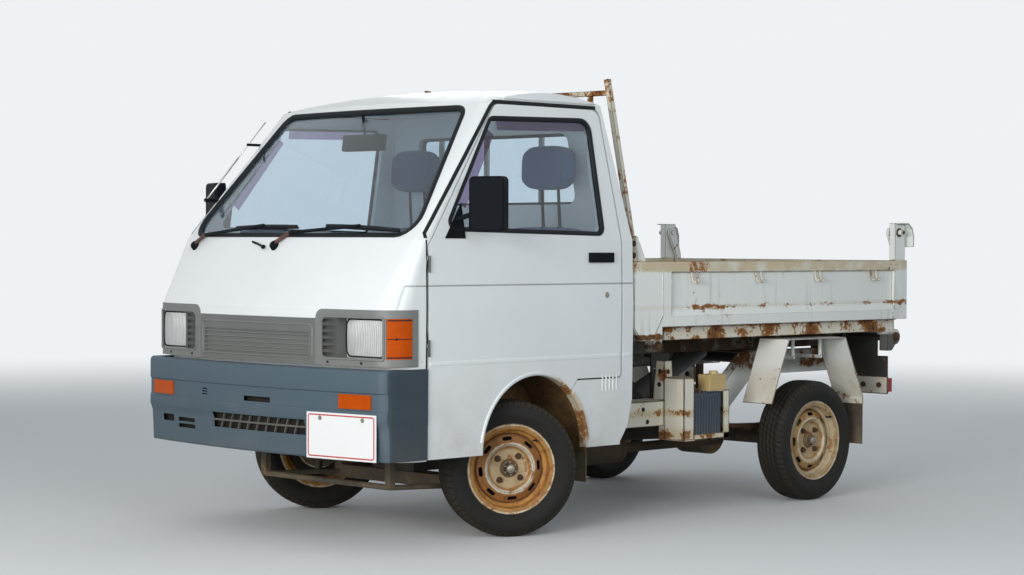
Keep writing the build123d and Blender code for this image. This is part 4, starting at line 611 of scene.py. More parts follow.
def plate_enamel():
    """White enamel of the blank plate, a little chalky."""
    material, tree, shader, spot = new_material("plate_enamel")
    cloud = noise(tree, spot, 8.0, 5.0, 0.6)
    white, dull = rgba((0.82, 0.83, 0.83)), rgba((0.66, 0.66, 0.64))
    base = blend(tree, ramp(tree, cloud, 0.5, 0.85, 0.0, 0.5), white, dull)
    dress(shader, base, ramp(tree, cloud, 0.2, 0.8, 0.3, 0.45))
    relief(tree, shader, cloud, 0.1, 0.001)
    return material


def flat_enamel(name, colour, rough=0.4):
    """Small painted or moulded detail with a little wear."""
    material, tree, shader, spot = new_material(name)
    cloud = noise(tree, spot, 40.0, 6.0, 0.65)
    base = blend(tree, ramp(tree, cloud, 0.45, 0.8, 0.0, 0.6), rgba(colour), rgba(colour, 0.6))
    dress(shader, base, ramp(tree, cloud, 0.2, 0.8, rough - 0.08, rough + 0.15))
    relief(tree, shader, cloud, 0.2, 0.0006)
    return material


# Modelling


def begin():
    """An empty piece."""
    return bmesh.new()


def finish(name, bm, material, body, bevel=0.0, segments=2, subdivide=0, flat=False, merge=True,
           shell=0.0):
    """Makes the object of a piece, and lets it ride on a body."""
    if merge:
        bmesh.ops.remove_doubles(bm, verts=bm.verts, dist=1e-6)
        bmesh.ops.recalc_face_normals(bm, faces=bm.faces)
    mesh = bpy.data.meshes.new(name)
    bm.to_mesh(mesh)
    bm.free()
    if not flat:
        mesh.shade_smooth()
    piece = bpy.data.objects.new(name, mesh)
    bpy.context.scene.collection.objects.link(piece)
    mesh.materials.append(finish_of(material))
    if shell:
        wall = piece.modifiers.new("Wall", "SOLIDIFY")
        wall.thickness = shell / MM
        wall.offset = -1.0
    if bevel:
        rounding = piece.modifiers.new("Rounding", "BEVEL")
        rounding.width = bevel / MM
        rounding.segments = segments
        rounding.limit_method = "ANGLE"
        rounding.harden_normals = True
    if subdivide:
        smooth = piece.modifiers.new("Smoothing", "SUBSURF")
        smooth.levels = smooth.render_levels = subdivide
    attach(piece, body)
    return piece


def new_part(bm, make, matrix, **settings):
    """Adds a basic form and gives back its vertices."""
    return make(bm, matrix=matrix, **settings)["verts"]


def turned(place_at, angles=(0.0, 0.0, 0.0), scale=(1.0, 1.0, 1.0)):
    """A matrix from a place, turns about X, Y and Z in degrees, and a stretch."""
    turn = Matrix.Identity(4)
    for axis, angle in zip("XYZ", angles):
        turn = Matrix.Rotation(math.radians(angle), 4, axis) @ turn
    return Matrix.Translation(place_at) @ turn @ Matrix.Diagonal((*scale, 1.0))


def aimed(place_at, direction):
    """A matrix whose Z axis looks along a direction."""
    turn = Vector(direction).to_track_quat("Z", "Y").to_matrix().to_4x4()
    return Matrix.Translation(place_at) @ turn


def add_box(bm, place_at, size, angles=(0.0, 0.0, 0.0)):
    """A box in millimetres about a place in metres."""
    return new_part(bm, bmesh.ops.create_cube, turned(place_at, angles, [s / MM for s in size]), size=1.0)


def add_rod(bm, place_at, direction, radius, length, segments=16, radius_end=None):
    """A round bar in millimetres that starts at a place and goes along a direction."""
    end = radius if radius_end is None else radius_end
    matrix = aimed(Vector(place_at) + Vector(direction).normalized() * length / (2.0 * MM), direction)
    return new_part(bm, bmesh.ops.create_cone, matrix, cap_ends=True, cap_tris=False, segments=segments,
                    radius1=radius / MM, radius2=end / MM, depth=length / MM)


def add_dome(bm, place_at, direction, radius, height, segments=16):
    """A shallow round head."""
    matrix = aimed(place_at, direction) @ Matrix.Diagonal((radius / MM, radius / MM, height / MM, 1.0))
    return new_part(bm, bmesh.ops.create_uvsphere, matrix, u_segments=segments, v_segments=8, radius=1.0)


# Points on each rounded corner of an outline.
CORNER_POINTS = 7


def rounded(rows):
    """A closed outline with rounded corners from rows of two places and a radius."""
    points = []
    count = len(rows)
    for index, (u, v, radius) in enumerate(rows):
        corner = Vector((u, v, 0.0))
        before = (Vector((*rows[index - 1][:2], 0.0)) - corner).normalized()
        after = (Vector((*rows[(index + 1) % count][:2], 0.0)) - corner).normalized()
        turn = math.pi - before.angle(after)
        reach, pull = radius * math.tan(turn / 2.0), radius * math.tan(turn / 4.0) * 4.0 / 3.0
        start, end = corner + before * reach, corner + after * reach
        arc = interpolate_bezier(start, start - before * pull, end - after * pull, end, CORNER_POINTS)
        points.extend((p[0], p[1]) for p in arc)
    return points


def filled_in(points, step, closed=True):
    """The same line with points no further apart than a step."""
    result = []
    ends = list(zip(points, points[1:] + points[:1])) if closed else list(zip(points, points[1:]))
    for a, b in ends:
        parts = max(1, math.ceil(math.dist(a, b) / step))
        result.extend(tuple(p + (q - p) * k / parts for p, q in zip(a, b)) for k in range(parts))
    return result if closed else result + [tuple(points[-1])]


def surface(*nodes):
    """A search tree over some CAD nodes."""
    bm = bmesh.new()
    for name in nodes:
        bm.from_mesh(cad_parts[name].data)
    tree = BVHTree.FromBMesh(bm)
    bm.free()
    return tree


def cast(tree, start, direction):
    """Where a ray in millimetres first meets a surface, in metres, with the surface's normal."""
    hit, normal, _, _ = tree.ray_cast(at(*start), Vector(direction))
    if hit is None:
        raise RuntimeError(f"nothing lies behind {start} along {direction}")
    if normal.dot(Vector(direction)) > 0:
        normal.negate()
    return hit, normal


def from_front(tree, x, z):
    """Where a ray from before the truck meets a surface."""
    return cast(tree, (x, -FAR, z), (0, 1, 0))


def from_side(tree, y, z, sign=1.0):
    """Where a ray from beside the truck meets a surface."""
    return cast(tree, (FAR * sign, y, z), (-sign, 0, 0))


def side_line(tree, sign, spots, least=0.0):
    """Places on the truck's side and their outward ways, where rays from beside it meet a surface."""
    line, ways = [], []
    for y, z in spots:
        hit, normal = tree.ray_cast(at(FAR * sign, y, z), Vector((-sign, 0, 0)))[:2]
        if hit is not None and abs(hit.x) > least:
            line.append(hit)
            ways.append(normal if normal.x * sign > 0 else -normal)
    return line, ways


def frame_matrix(origin, right, up):
    """Axes that carry a flat profile: its first axis, its second axis and the way it is pulled."""
    right = right.normalized()
    up = (up - right * up.dot(right)).normalized()
    ahead = right.cross(up)
    return Matrix((
        (right[0], up[0], ahead[0], origin[0]), (right[1], up[1], ahead[1], origin[1]),
        (right[2], up[2], ahead[2], origin[2]), (0, 0, 0, 1)))


def sweep(bm, profile, stations, closed=False):
    """Pulls a closed profile in millimetres through stations, which are matrices."""
    ring = [bm.verts.new(stations[0] @ Vector((u / MM, v / MM, 0.0))) for u, v in profile]
    edges = [bm.edges.new(pair) for pair in zip(ring, ring[1:] + ring[:1])]
    first = edges
    if not closed:
        bm.faces.new(ring)
    for before, after in zip(stations, stations[1:]):
        made = bmesh.ops.extrude_edge_only(bm, edges=edges)["geom"]
        verts = [e for e in made if isinstance(e, bmesh.types.BMVert)]
        edges = [e for e in made if isinstance(e, bmesh.types.BMEdge) and all(v in verts for v in e.verts)]
        bmesh.ops.transform(bm, matrix=after @ before.inverted(), verts=verts)
    if closed:
        bmesh.ops.bridge_loops(bm, edges=first + edges)
    else:
        bmesh.ops.holes_fill(bm, edges=edges)
    return bm


def along_line(points, up, closed=False):
    """Stations along a line in metres, their second axis near a given way up or one way for each point."""
    stations = []
    count = len(points)
    for index, point in enumerate(points):
        before = points[index - 1] if index or closed else point
        after = points[(index + 1) % count] if index + 1 < count or closed else point
        ahead = (after - before).normalized()
        way = up[index] if isinstance(up, list) else Vector(up)
        right = way.cross(ahead)
        stations.append(frame_matrix(point, right, way - ahead * way.dot(ahead)))
    return stations


def draw_along(bm, profile, points, up, closed=False):
    """Pulls a closed profile in millimetres along a line in metres."""
    return sweep(bm, profile, along_line(points, up, closed), closed)


def side_sheet(bm, outline, near, far):
    """A flat sheet between two places across the truck, from its outline along and up."""
    along, up = Vector((0, 1, 0)), Vector((0, 0, 1))
    sweep(bm, outline, [frame_matrix(at(x, 0.0, 0.0), along, up) for x in (near, far)])


def slab(foot, low, top, high):
    """Profile with four corners: half its width below, its lower height, half its width above, its height."""
    return [(-foot, low), (foot, low), (top, high), (-top, high)]


def circle(radius, count=10):
    """Profile of a round bar."""
    angles = [2 * math.pi * k / count for k in range(count)]
    return [(radius * math.cos(angle), radius * math.sin(angle)) for angle in angles]


def smooth_path(points, steps=6):
    """A soft curve through places in millimetres, as places in metres."""
    spots = [at(*p) for p in points]
    result = []
    for index in range(len(spots) - 1):
        a, b = spots[index], spots[index + 1]
        before = spots[index - 1] if index else a - (b - a)
        after = spots[index + 2] if index + 2 < len(spots) else b + (b - a)
        reach = (b - a).length / 3.0
        pull_a = a + (b - before).normalized() * reach
        pull_b = b - (after - a).normalized() * reach
        part = interpolate_bezier(a, pull_a, pull_b, b, steps + 1)
        result.extend(part if index == 0 else part[1:])
    return [Vector(p) for p in result]


def bent_bar(bm, points, radius, steps=6, up=(0.0, 0.0, 1.0), count=10):
    """A round bar that bends through places in millimetres."""
    line = smooth_path(points, steps)
    return draw_along(bm, circle(radius, count), line, up)


def mirror_piece(bm):
    """Adds the same shape on the vehicle's right."""
    geom = list(bm.verts) + list(bm.edges) + list(bm.faces)
    bmesh.ops.mirror(bm, geom=geom, matrix=Matrix.Identity(4), merge_dist=-1.0, axis="X", mirror_u=False,
                     mirror_v=False)
    return bm


def paint(names, material):
    """Gives a material to CAD nodes."""
    for name in names:
        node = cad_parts[name]
        if not node.material_slots:
            node.data.materials.append(material)
        for slot in node.material_slots:
            slot.material = material


# The finishes by name, filled by the finishes operator.
MATERIALS = {}


def finish_of(name):
    """A material made by the finishes operator."""
    if name not in MATERIALS:
        raise RuntimeError(f"the finish {name} is not made yet")
    return MATERIALS[name]


# Operators


# Each row is one belt: low and high limit and soft edge in metres, then its shares of rust, stain and soot
# with painted shade.
BED_BELTS = [
    (0.984, 1.030, 0.006, 0.06, 0.75, 0.0), (0.832, 0.852, 0.005, 0.085, 0.15, 0.0),
    (0.716, 0.738, 0.006, 0.20, 0.55, 0.0),
]
# Painted shade: the floor's lower belt and the frame's belt darken what lies under the bed, for its shade as
# well as old dirt.
FLOOR_BELTS = [(0.705, 0.780, 0.010, 0.055, 0.5, 0.0), (0.0, 0.702, 0.012, 0.10, 0.0, 0.88)]
FRAME_BELTS = [(0.548, 0.760, 0.030, 0.10, 0.2, 0.55)]
CARRIER_BELTS = [
    (0.300, 0.345, 0.020, 0.12, 0.5, 0.0), (0.395, 0.425, 0.010, 0.08, 0.6, 0.0),
    (0.545, 0.600, 0.015, 0.05, 0.5, 0.0),
]
MUDGUARD_BELTS = [(0.36, 0.56, 0.04, 0.03, 0.35, 0.0)]
GUARD_BELTS = [(1.655, 1.760, 0.010, 0.10, 0.2, 0.0)]
# Each row is the radius in millimetres from which a ring has a colour; the pale ring from 84 mm on the raised
# bead is partly paint, partly painted highlight.
FRONT_RINGS = [
    (0.0, (0.03, 0.03, 0.028)), (24.0, (0.12, 0.09, 0.05)), (36.0, (0.44, 0.33, 0.19)),
    (74.0, (0.36, 0.20, 0.07)), (84.0, (0.62, 0.58, 0.48)), (97.0, (0.25, 0.11, 0.025)),
    (122.0, (0.16, 0.07, 0.018)), (134.0, (0.44, 0.21, 0.04)), (152.0, (0.34, 0.18, 0.05)),
    (163.0, (0.62, 0.55, 0.42)),
]
REAR_RINGS = [
    (0.0, (0.05, 0.04, 0.03)), (24.0, (0.20, 0.14, 0.08)), (36.0, (0.50, 0.38, 0.22)),
    (74.0, (0.42, 0.27, 0.12)), (84.0, (0.66, 0.60, 0.46)), (97.0, (0.42, 0.27, 0.11)),
    (122.0, (0.20, 0.10, 0.03)), (134.0, (0.56, 0.46, 0.30)), (152.0, (0.40, 0.28, 0.13)),
    (163.0, (0.60, 0.54, 0.42)),
]
# The CAD nodes that a finish is given to.
FINISHED_NODES = {
    "body": ["front_panel", "windscreen_frame", "roof", "rear_wall", "quarter_panels", "door_left",
             "door_right"],
    "bed": ["bed_sides", "headboard", "tailgate"],
    "bed_under": ["bed_floor"],
    "frame": ["frame_rails", "battery_box"],
    "guards": ["mudguards"],
    "guard": ["guard_frame"],
    "black_paint": ["front_suspension", "knuckle_left", "knuckle_right", "rear_axle", "crossmembers"],
    "floor_paint": ["cab_floor"],
    "liner": ["arch_liners"],
    "lift_paint": ["lift_barrel"],
    "casting": ["engine", "driveline"],
    "rust": ["leaf_springs"],
    "pipe": ["exhaust"],
    "bright": ["lift_rod"],
    "grille": ["grille"],
    "bezel": ["lamp_bezels"],
    "bumper": ["bumper"],
    "black": ["door_fittings_left", "door_fittings_right", "steering_wheel", "fuel_tank"],
    "dash": ["dashboard"],
    "battery": ["battery"],
    "tank": ["fluid_tank"],
    "flap": ["mudflaps"],
    "tyre": ["tyre_front_left", "tyre_front_right", "tyre_rear_left", "tyre_rear_right"],
    "glass": ["door_glass_left", "door_glass_right"],
    "screen": ["cab_glass"],
    "lens": ["headlamps"],
    "amber": ["amber_lamps"],
    "tail": ["rear_lamps"],
    "plate": ["number_plate"],
    "cloth": ["seat_cushions", "seat_backs"],
}


class TRUCK_OT_finishes(bpy.types.Operator):
    """Makes every finish and gives it to the truck's solids"""
    bl_idname = "truck.finishes"
    bl_label = "Finishes"

    def execute(self, context):
        colours = context.scene.truck_colours
        low_dirt = (0.25, 0.75, 0.55)
        MATERIALS.update({
            "body": worn_paint(
                "body_enamel", colours.body_white, rust=0.03, edge=0.12, grime=(0.2, 0.85, 0.5),
                streaks=0.12, crease=True, coat=0.4),
            "bed": worn_paint(
                "bed_enamel", colours.bed_white, gloss=0.42, rust=0.27, rust_scale=5.0, edge=0.8,
                grime=(0.4, 1.1, 0.2), streaks=0.55, coat=0.1, bands=BED_BELTS),
            "bed_under": worn_paint(
                "bed_under_enamel", colours.bed_white, gloss=0.5, rust=0.4, rust_scale=7.0, edge=0.8,
                grime=(0.3, 0.9, 0.3), streaks=0.3, coat=0.0, bands=FLOOR_BELTS),
            "frame": worn_paint(
                "frame_enamel", colours.bed_white, gloss=0.45, rust=0.3, rust_scale=8.0, edge=0.8,
                grime=(0.15, 0.8, 0.6), streaks=0.5, coat=0.05, bands=FRAME_BELTS),
            "carrier": worn_paint(
                "carrier_enamel", (0.74, 0.71, 0.60), gloss=0.45, rust=0.3, rust_scale=11.0, edge=1.0,
                grime=(0.1, 0.7, 0.4), streaks=0.6, coat=0.05, bands=CARRIER_BELTS),
            "guards": worn_paint(
                "mudguard_enamel", (0.82, 0.83, 0.78), gloss=0.45, rust=0.28, rust_scale=9.0, edge=1.0,
                grime=(0.15, 0.8, 0.45), streaks=0.5, coat=0.05, bands=MUDGUARD_BELTS),
            "guard": worn_paint(
                "guard_enamel", colours.guard_cream, gloss=0.45, rust=0.42, rust_scale=9.0, edge=1.0,
                grime=(0.2, 0.6, 0.1), streaks=0.4, coat=0.05, bands=GUARD_BELTS),
            "black_paint": worn_paint(
                "chassis_enamel", (0.022, 0.022, 0.022), gloss=0.55, rust=0.35, rust_scale=9.0, edge=0.7,
                grime=(0.1, 0.7, 0.7), streaks=0.2, coat=0.0),
            "floor_paint": worn_paint(
                "floor_enamel", (0.30, 0.30, 0.285), gloss=0.6, rust=0.3, rust_scale=10.0, edge=0.6,
                grime=(0.2, 0.8, 0.8), streaks=0.2, coat=0.0),
            "lift_paint": worn_paint(
                "lift_enamel", (0.10, 0.105, 0.11), gloss=0.5, rust=0.3, edge=0.6, grime=low_dirt,
                coat=0.0),
            "casting": rusted_metal("dirty_casting", (0.060, 0.050, 0.038), rough=0.75),
            "rust": rusted_metal("rusted_steel", (0.085, 0.042, 0.018)),
            # Near-black for the brake backing plates, and as painted shade for the bumper's lining and the
            # carrier's holes.
            "soot_and_shade": flat_enamel("brake_black_and_shade", (0.012, 0.010, 0.008), 0.85),
            "liner": rusted_metal("rusty_liner", (0.20, 0.112, 0.038), 0.4),
            "pipe": rusted_metal("sooty_pipe", (0.050, 0.032, 0.017)),
            "bright": bright_metal("machined_steel"),
            "zinc": bright_metal("zinc_plate", (0.30, 0.27, 0.22), 0.45),
            # Painted shade: the recess in each lamp pocket beside the lens is darkened.
            "bezel": moulded(
                "bezel_moulding", colours.grille_grey, 0.45, fade=0.3, grime=(0.5, 0.85, 0.2),
                painted_shade=(0.372, 0.445, 0.686, 0.828)),
            "rib": moulded("rib_moulding", colours.grille_grey, 0.42, fade=0.3, grime=(0.5, 0.85, 0.1)),
            "fin": flat_enamel("fin_grey", (0.10, 0.095, 0.08), 0.6),
            "grille": moulded(
                "grille_moulding", [0.72 * c for c in colours.grille_grey], 0.5, fade=0.25,
                grime=(0.5, 0.85, 0.2)),
            # Painted shade: the bumper's side is darkened, as it catches less light than the front.
            "bumper": moulded(
                "bumper_moulding", colours.bumper_blue, 0.55, fade=0.16, grime=(0.2, 0.6, 0.2),
                painted_shade=(0.6935, 0.75, 0.3, 0.7), deep=0.5, shine=0.3),
            "black": moulded(
                "black_moulding", colours.trim_black, 0.55, fade=0.01, grime=(0.2, 1.9, 0.01), shine=0.06),
            "dash": moulded("dash_moulding", (0.045, 0.047, 0.052), 0.6, fade=0.15, grime=(0.2, 1.9, 0.05)),
            "battery": moulded("battery_case", (0.018, 0.034, 0.056), 0.4, fade=0.3, grime=(0.2, 0.9, 0.15)),
            "tank": moulded("tank_plastic", (0.55, 0.40, 0.17), 0.45, fade=0.3, grime=(0.2, 0.9, 0.5)),
            "rubber": moulded(
                "seal_rubber", (0.006, 0.008, 0.011), 0.6, fade=0.05, grime=(0.2, 1.9, 0.02), shine=0.2),
            "flap": moulded("flap_rubber", (0.03, 0.025, 0.02), 0.75, fade=0.3, grime=(0.1, 0.7, 0.8)),
            "tyre": tyre_rubber(),
            "glass": window_glass("window_glass", (0.84, 0.91, 0.96)),
            "screen": window_glass("screen_glass", (0.62, 0.72, 0.79)),
            "visor": window_glass("visor_plastic", (0.36, 0.27, 0.40)),
            "lens": lamp_glass("headlamp_glass", (0.76, 0.77, 0.77), pitch=110.0, see=0.25),
            "amber": lamp_glass("amber_lens", colours.lamp_amber, (0.0, 0.0, 1.0), 230.0, 0.25, 0.08, 0.1),
            "tail": lamp_glass("tail_lens", (0.45, 0.012, 0.008), (0.0, 0.0, 1.0), 160.0, 0.2, 0.3),
            "plate": plate_enamel(),
            "cloth": seat_cloth(),
            "arm": rusted_metal("rusting_arm", (0.115, 0.05, 0.035), rough=0.6),
            "red_line": flat_enamel("border_red", (0.55, 0.06, 0.06)),
            "mirror": bright_metal("mirror_face", (0.75, 0.78, 0.8), 0.06),
            "tread": tyre_tread(),
        })
        for key, nodes in FINISHED_NODES.items():
            paint(nodes, finish_of(key))
        for name, _, side, y, z, steers in WHEELS:
            matrix = wheel_matrix(side, y, z, steers) @ Matrix.Diagonal((side, 1.0, 1.0, 1.0))
            tones, rust = (FRONT_RINGS, 0.47) if steers else (REAR_RINGS, 0.40)
            paint([f"rim_{name}"], wheel_paint(f"wheel_enamel_{name}", matrix, tones, rust))
        return {"FINISHED"}


# How far outside its opening the middle of a seal lies.
SEAL_MARGIN = 4.0
# Window openings as rows of two places and a corner radius.
SCREEN = [(-646.0, 1124.0, 60.0), (-512.0, 1598.0, 50.0), (512.0, 1598.0, 50.0), (646.0, 1124.0, 60.0)]
REAR_LIGHT = [(-440.0, 1250.0, 40.0), (-430.0, 1530.0, 40.0), (430.0, 1530.0, 40.0), (440.0, 1250.0, 40.0)]
DOOR_WINDOW = [(-436.0, 1148.0, 22.0), (-146.0, 1556.0, 34.0), (382.0, 1568.0, 44.0), (384.0, 1134.0, 26.0)]


def spread(points, margin):
    """A closed line moved outwards."""
    pairs = list(zip(points, points[1:] + points[:1]))
    area = sum(a[0] * b[1] - b[0] * a[1] for a, b in pairs)
    reach = math.copysign(margin, area)
    result = []
    for index, (u, v) in enumerate(points):
        before, after = points[index - 1], points[(index + 1) % len(points)]
        du, dv = after[0] - before[0], after[1] - before[1]
        size = math.hypot(du, dv)
        result.append((u + reach * dv / size, v - reach * du / size))
    return result


def seal(bm, outline, tree, start, direction, width):
    """A rubber along the edge of an opening, seated on the panel around it."""
    rim = spread(filled_in(rounded(outline), 60.0), SEAL_MARGIN)
    spots, normals = [], []
    for u, v in rim:
        hit, normal = cast(tree, start(u, v), direction)
        spots.append(hit)
        normals.append(normal)
    stations = along_line(spots, normals, closed=True)
    middle = sum(spots, Vector()) / len(spots)
    inward = 1.0 if (middle - spots[0]).dot(stations[0].col[0].to_3d()) > 0 else -1.0
    out = width / 3.0
    profile = [(-out, 0.5), (-out * 0.8, 3.0), (0.0, 4.5), (out * 1.4, 2.5), (out * 1.9, -5.0),
               (out * 1.9, -10.5), (out * 0.6, -10.5), (0.0, -1.0)]
    sweep(bm, [(u * inward, v) for u, v in profile], stations, closed=True)


class TRUCK_OT_seals(bpy.types.Operator):
    """Rubber seals of the windscreen, the rear light and the door windows"""
    bl_idname = "truck.seals"
    bl_label = "Window Seals"

    def execute(self, context):
        width = context.scene.truck_sizes.seal_width * MM
        cab = surface("windscreen_frame", "front_panel", "roof", "rear_wall")
        bm = begin()
        seal(bm, SCREEN, cab, lambda x, z: (x, -FAR, z), (0, 1, 0), width)
        seal(bm, REAR_LIGHT, cab, lambda x, z: (x, FAR, z), (0, -1, 0), width)
        finish("cab_window_seals", bm, "rubber", "chassis")
        for side, sign in SIDES:
            bm = begin()
            door = surface(f"door_{side}")
            seal(bm, DOOR_WINDOW, door, lambda y, z: (FAR * sign, y, z), (-sign, 0, 0), width * 0.8)
            finish(f"door_window_seal_{side}", bm, "rubber", f"door_{side}")
        return {"FINISHED"}


# The way the windscreen faces, and the washer nozzle's line.
WIPER_OUT = (0.0, -0.80, 0.60)
NOZZLE = ((-173.0, -640.0, 1096.0), (-130.0, -647.0, 1088.0), (-91.0, -653.0, 1076.0))
# Each row is one wiper: its spindle, a point on the way, and the two ends of its blade.
WIPERS = [
    ((-573.0, -605.0, 1079.0), (-505.0, -594.0, 1114.0), (-335.0, -582.0, 1143.0), (45.0, -594.0, 1147.0)),
    ((-33.0, -645.0, 1081.0), (30.0, -612.0, 1122.0), (205.0, -585.0, 1150.0), (585.0, -571.0, 1134.0)),
]


class TRUCK_OT_wipers(bpy.types.Operator):
    """Two wipers with their spindles, rusting arms and blades, and the washer's nozzle"""
    bl_idname = "truck.wipers"
    bl_label = "Wipers"

    def execute(self, context):
        out = Vector(WIPER_OUT)
        arms, blades, heads = begin(), begin(), begin()
        for spindle, bend, start, end in WIPERS:
            add_rod(heads, at(*spindle) - out * 0.004, out, 20.0, 16.0, 24, 17.0)
            add_dome(heads, at(*spindle) + out * 0.012, out, 16.5, 8.0)
            middle = [(a + b) / 2 for a, b in zip(start, end)]
            path = [at(*spindle) + out * 0.012, at(*bend) + out * 0.016, at(*middle) + out * 0.024]
            draw_along(heads, slab(7.0, -2.0, 5.5, 4.0), path, out)
            sleeve = [path[0].lerp(path[1], share) for share in (0.15, 0.95)]
            draw_along(arms, slab(8.5, -3.0, 7.0, 5.5), sleeve, out)
            line = [at(*[a + (b - a) * k / 8.0 for a, b in zip(start, end)]) for k in range(9)]
            top = [p + out * (0.013 + 0.006 * math.sin(math.pi * k / 8.0)) for k, p in enumerate(line)]
            draw_along(blades, slab(7.0, -2.0, 5.0, 3.0), top, out)
            draw_along(blades, slab(1.5, -9.0, 5.0, 0.5), [p + out * 0.008 for p in line], out)
            for share in (0.18, 0.5, 0.82):
                spot = line[0].lerp(line[-1], share) + out * 0.012
                add_box(blades, spot, (22.0, 12.0, 9.0), (-40.0, 0.0, 0.0))
        nozzle = [at(*spot) for spot in NOZZLE]
        draw_along(heads, slab(4.0, -3.0, 3.0, 5.0), nozzle, out)
        add_dome(heads, nozzle[-1] + out * 0.003, out, 9.0, 7.0)
        finish("wiper_arms", arms, "arm", "chassis", bevel=0.6)
        finish("wiper_blades", blades, "rubber", "chassis", bevel=0.5)
        finish("wiper_heads", heads, "black", "chassis", bevel=0.8)
        return {"FINISHED"}


# Foot and tip of the aerial.
AERIAL = ((-640.0, -511.0, 1254.0), (-590.0, -248.0, 1576.0))


class TRUCK_OT_aerial(bpy.types.Operator):
    """Pull-out aerial beside the right windscreen pillar"""
    bl_idname = "truck.aerial"
    bl_label = "Aerial"

    def execute(self, context):
        radius = context.scene.truck_sizes.aerial_radius * MM
        low, high = Vector(AERIAL[0]), Vector(AERIAL[1])
        way = high - low
        bm = begin()
        add_rod(bm, at(*low), way, radius * 1.6, way.length * 0.55, 12)
        add_rod(bm, at(*low.lerp(high, 0.5)), way, radius, way.length * 0.5, 12)
        add_dome(bm, at(*high), way, radius * 2.2, radius * 2.2, 12)
        finish("aerial_rod", bm, "bright", "chassis")
        bm = begin()
        for share, size in ((0.02, 16.0), (0.72, 11.0)):
            spot = low.lerp(high, share)
            hit, _ = from_front(surface("windscreen_frame", "front_panel"), spot.x, spot.z)
            ahead = hit - at(*spot)
            start = at(*spot) - ahead.normalized() * 0.006
            add_rod(bm, start, ahead, size / 2.0, ahead.length * MM + 8.0, 16)
        finish("aerial_clips", bm, "black", "chassis", bevel=1.0)
        return {"FINISHED"}


# Outlines of the front as rows of two places and a corner radius.
LAMP_POCKET = [(367.0, 682.0, 26.0), (367.0, 831.0, 26.0), (650.0, 831.0, 6.0), (650.0, 682.0, 6.0)]
LAMP_EDGE = [(449.0, 690.0, 22.0), (449.0, 823.0, 22.0), (642.0, 823.0, 14.0), (642.0, 690.0, 14.0)]
GRILLE_FIELD = [(-322.0, 680.0, 18.0), (-322.0, 800.0, 18.0), (322.0, 800.0, 18.0), (322.0, 680.0, 18.0)]
LAMP_SCREWS = ((560.0, 669.0), (400.0, 669.0))
# Level and height of each dark line of the corner lamp.
AMBER_LINES = ((756.0, 3.0), (690.5, 4.5), (821.5, 4.5))
# Places on the corner lamp's front and side that its lines pass.
AMBER_XS = (658.0, 664.0, 670.0, 676.0, 682.0, 687.0)
AMBER_YS = (-655.0, -640.0, -625.0, -614.0)
# Heights of the grille's thin ribs, and the band's foremost line.
GRILLE_RIBS = (694.0, 711.0, 728.0, 745.0, 762.0)
BAND_NOSE = -772.0
# Radius of the bow that the front shows from above.
BOW_RADIUS = 4000.0


def bow(nose, x):
    """Place along Y of a bowed front face."""
    return nose + BOW_RADIUS - math.sqrt(BOW_RADIUS**2 - x**2)


class TRUCK_OT_lamps(bpy.types.Operator):
    """Lamp pockets, screws, dark lines of the lenses and ribs of the grille"""
    bl_idname = "truck.lamps"
    bl_label = "Front Lamps"

    def execute(self, context):
        bezel, amber = surface("lamp_bezels"), surface("amber_lamps")
        frames, screws, lines = begin(), begin(), begin()
        forward = Vector((0, -1, 0))
        rim = filled_in(rounded(LAMP_POCKET), 40.0)
        spots = [from_front(bezel, x, z)[0] for x, z in rim]
        draw_along(frames, slab(4.5, -1.5, 3.0, 4.0), spots, forward, True)
        lens = filled_in(rounded(LAMP_EDGE), 40.0)
        spots = [from_front(surface("headlamps"), x, z)[0] for x, z in lens]
        draw_along(lines, [(-3.0, -5.0), (3.0, -5.0), (3.0, 3.0), (-3.0, 1.0)], spots, forward, True)
        for x, z in LAMP_SCREWS:
            hit, normal = from_front(bezel, x, z)
            add_rod(screws, hit - normal * 0.002, normal, 5.0, 4.0, 12)
        for level, height in AMBER_LINES:
            across = [from_front(amber, x, level) for x in AMBER_XS]
            across += [from_side(amber, y, level) for y in AMBER_YS]
            line = [hit + normal * 0.0004 for hit, normal in across]
            half = height / 2.0
            draw_along(lines, slab(half, -1.0, half, 1.0), line, [n for _, n in across])
        hit, normal = from_front(amber, 679.0, 756.0)
        add_rod(screws, hit, normal, 5.0, 2.5, 12)
        for bm in (frames, screws, lines):
            mirror_piece(bm)
        finish("lamp_frames", frames, "rib", "chassis", bevel=1.0)
        finish("lamp_lines", lines, "rubber", "chassis", bevel=0.6)
        finish("lamp_screws", screws, "rubber", "chassis", bevel=0.8)
        ribs = begin()
        grille = surface("grille")
        for level in GRILLE_RIBS:
            xs = [-310.0 + 31.0 * k for k in range(21)]
            line = [at(x, bow(BAND_NOSE, x) + 1.0, level) for x in xs]
            draw_along(ribs, slab(2.6, -2.0, 1.6, 2.6), line, forward)
        field = filled_in(rounded(GRILLE_FIELD), 40.0)
        line = [from_front(grille, x, z)[0] for x, z in field]
        draw_along(ribs, slab(4.0, -1.0, 1.5, 3.5), line, forward, True)
        finish("grille_ribs", ribs, "rib", "chassis", bevel=0.8)
        return {"FINISHED"}


# The bumper's foremost line, half its width, its rear end and its corner's radius.
BUMPER_NOSE = -808.0
BUMPER_HALF = 699.0
BUMPER_REAR = -540.0
BUMPER_CORNER = 46.0
# Each row is one level of the bumper's face: its height and how far it draws in there.
BUMPER_FACE = [
    (648.0, 44.0), (648.0, 12.0), (643.0, 4.0), (634.0, 0.6), (567.0, 0.6), (564.0, 5.0), (504.0, 5.0),
    (501.0, 0.6), (466.0, 0.6), (440.0, 12.0), (330.0, 21.0), (324.0, 26.0), (324.0, 44.0),
]
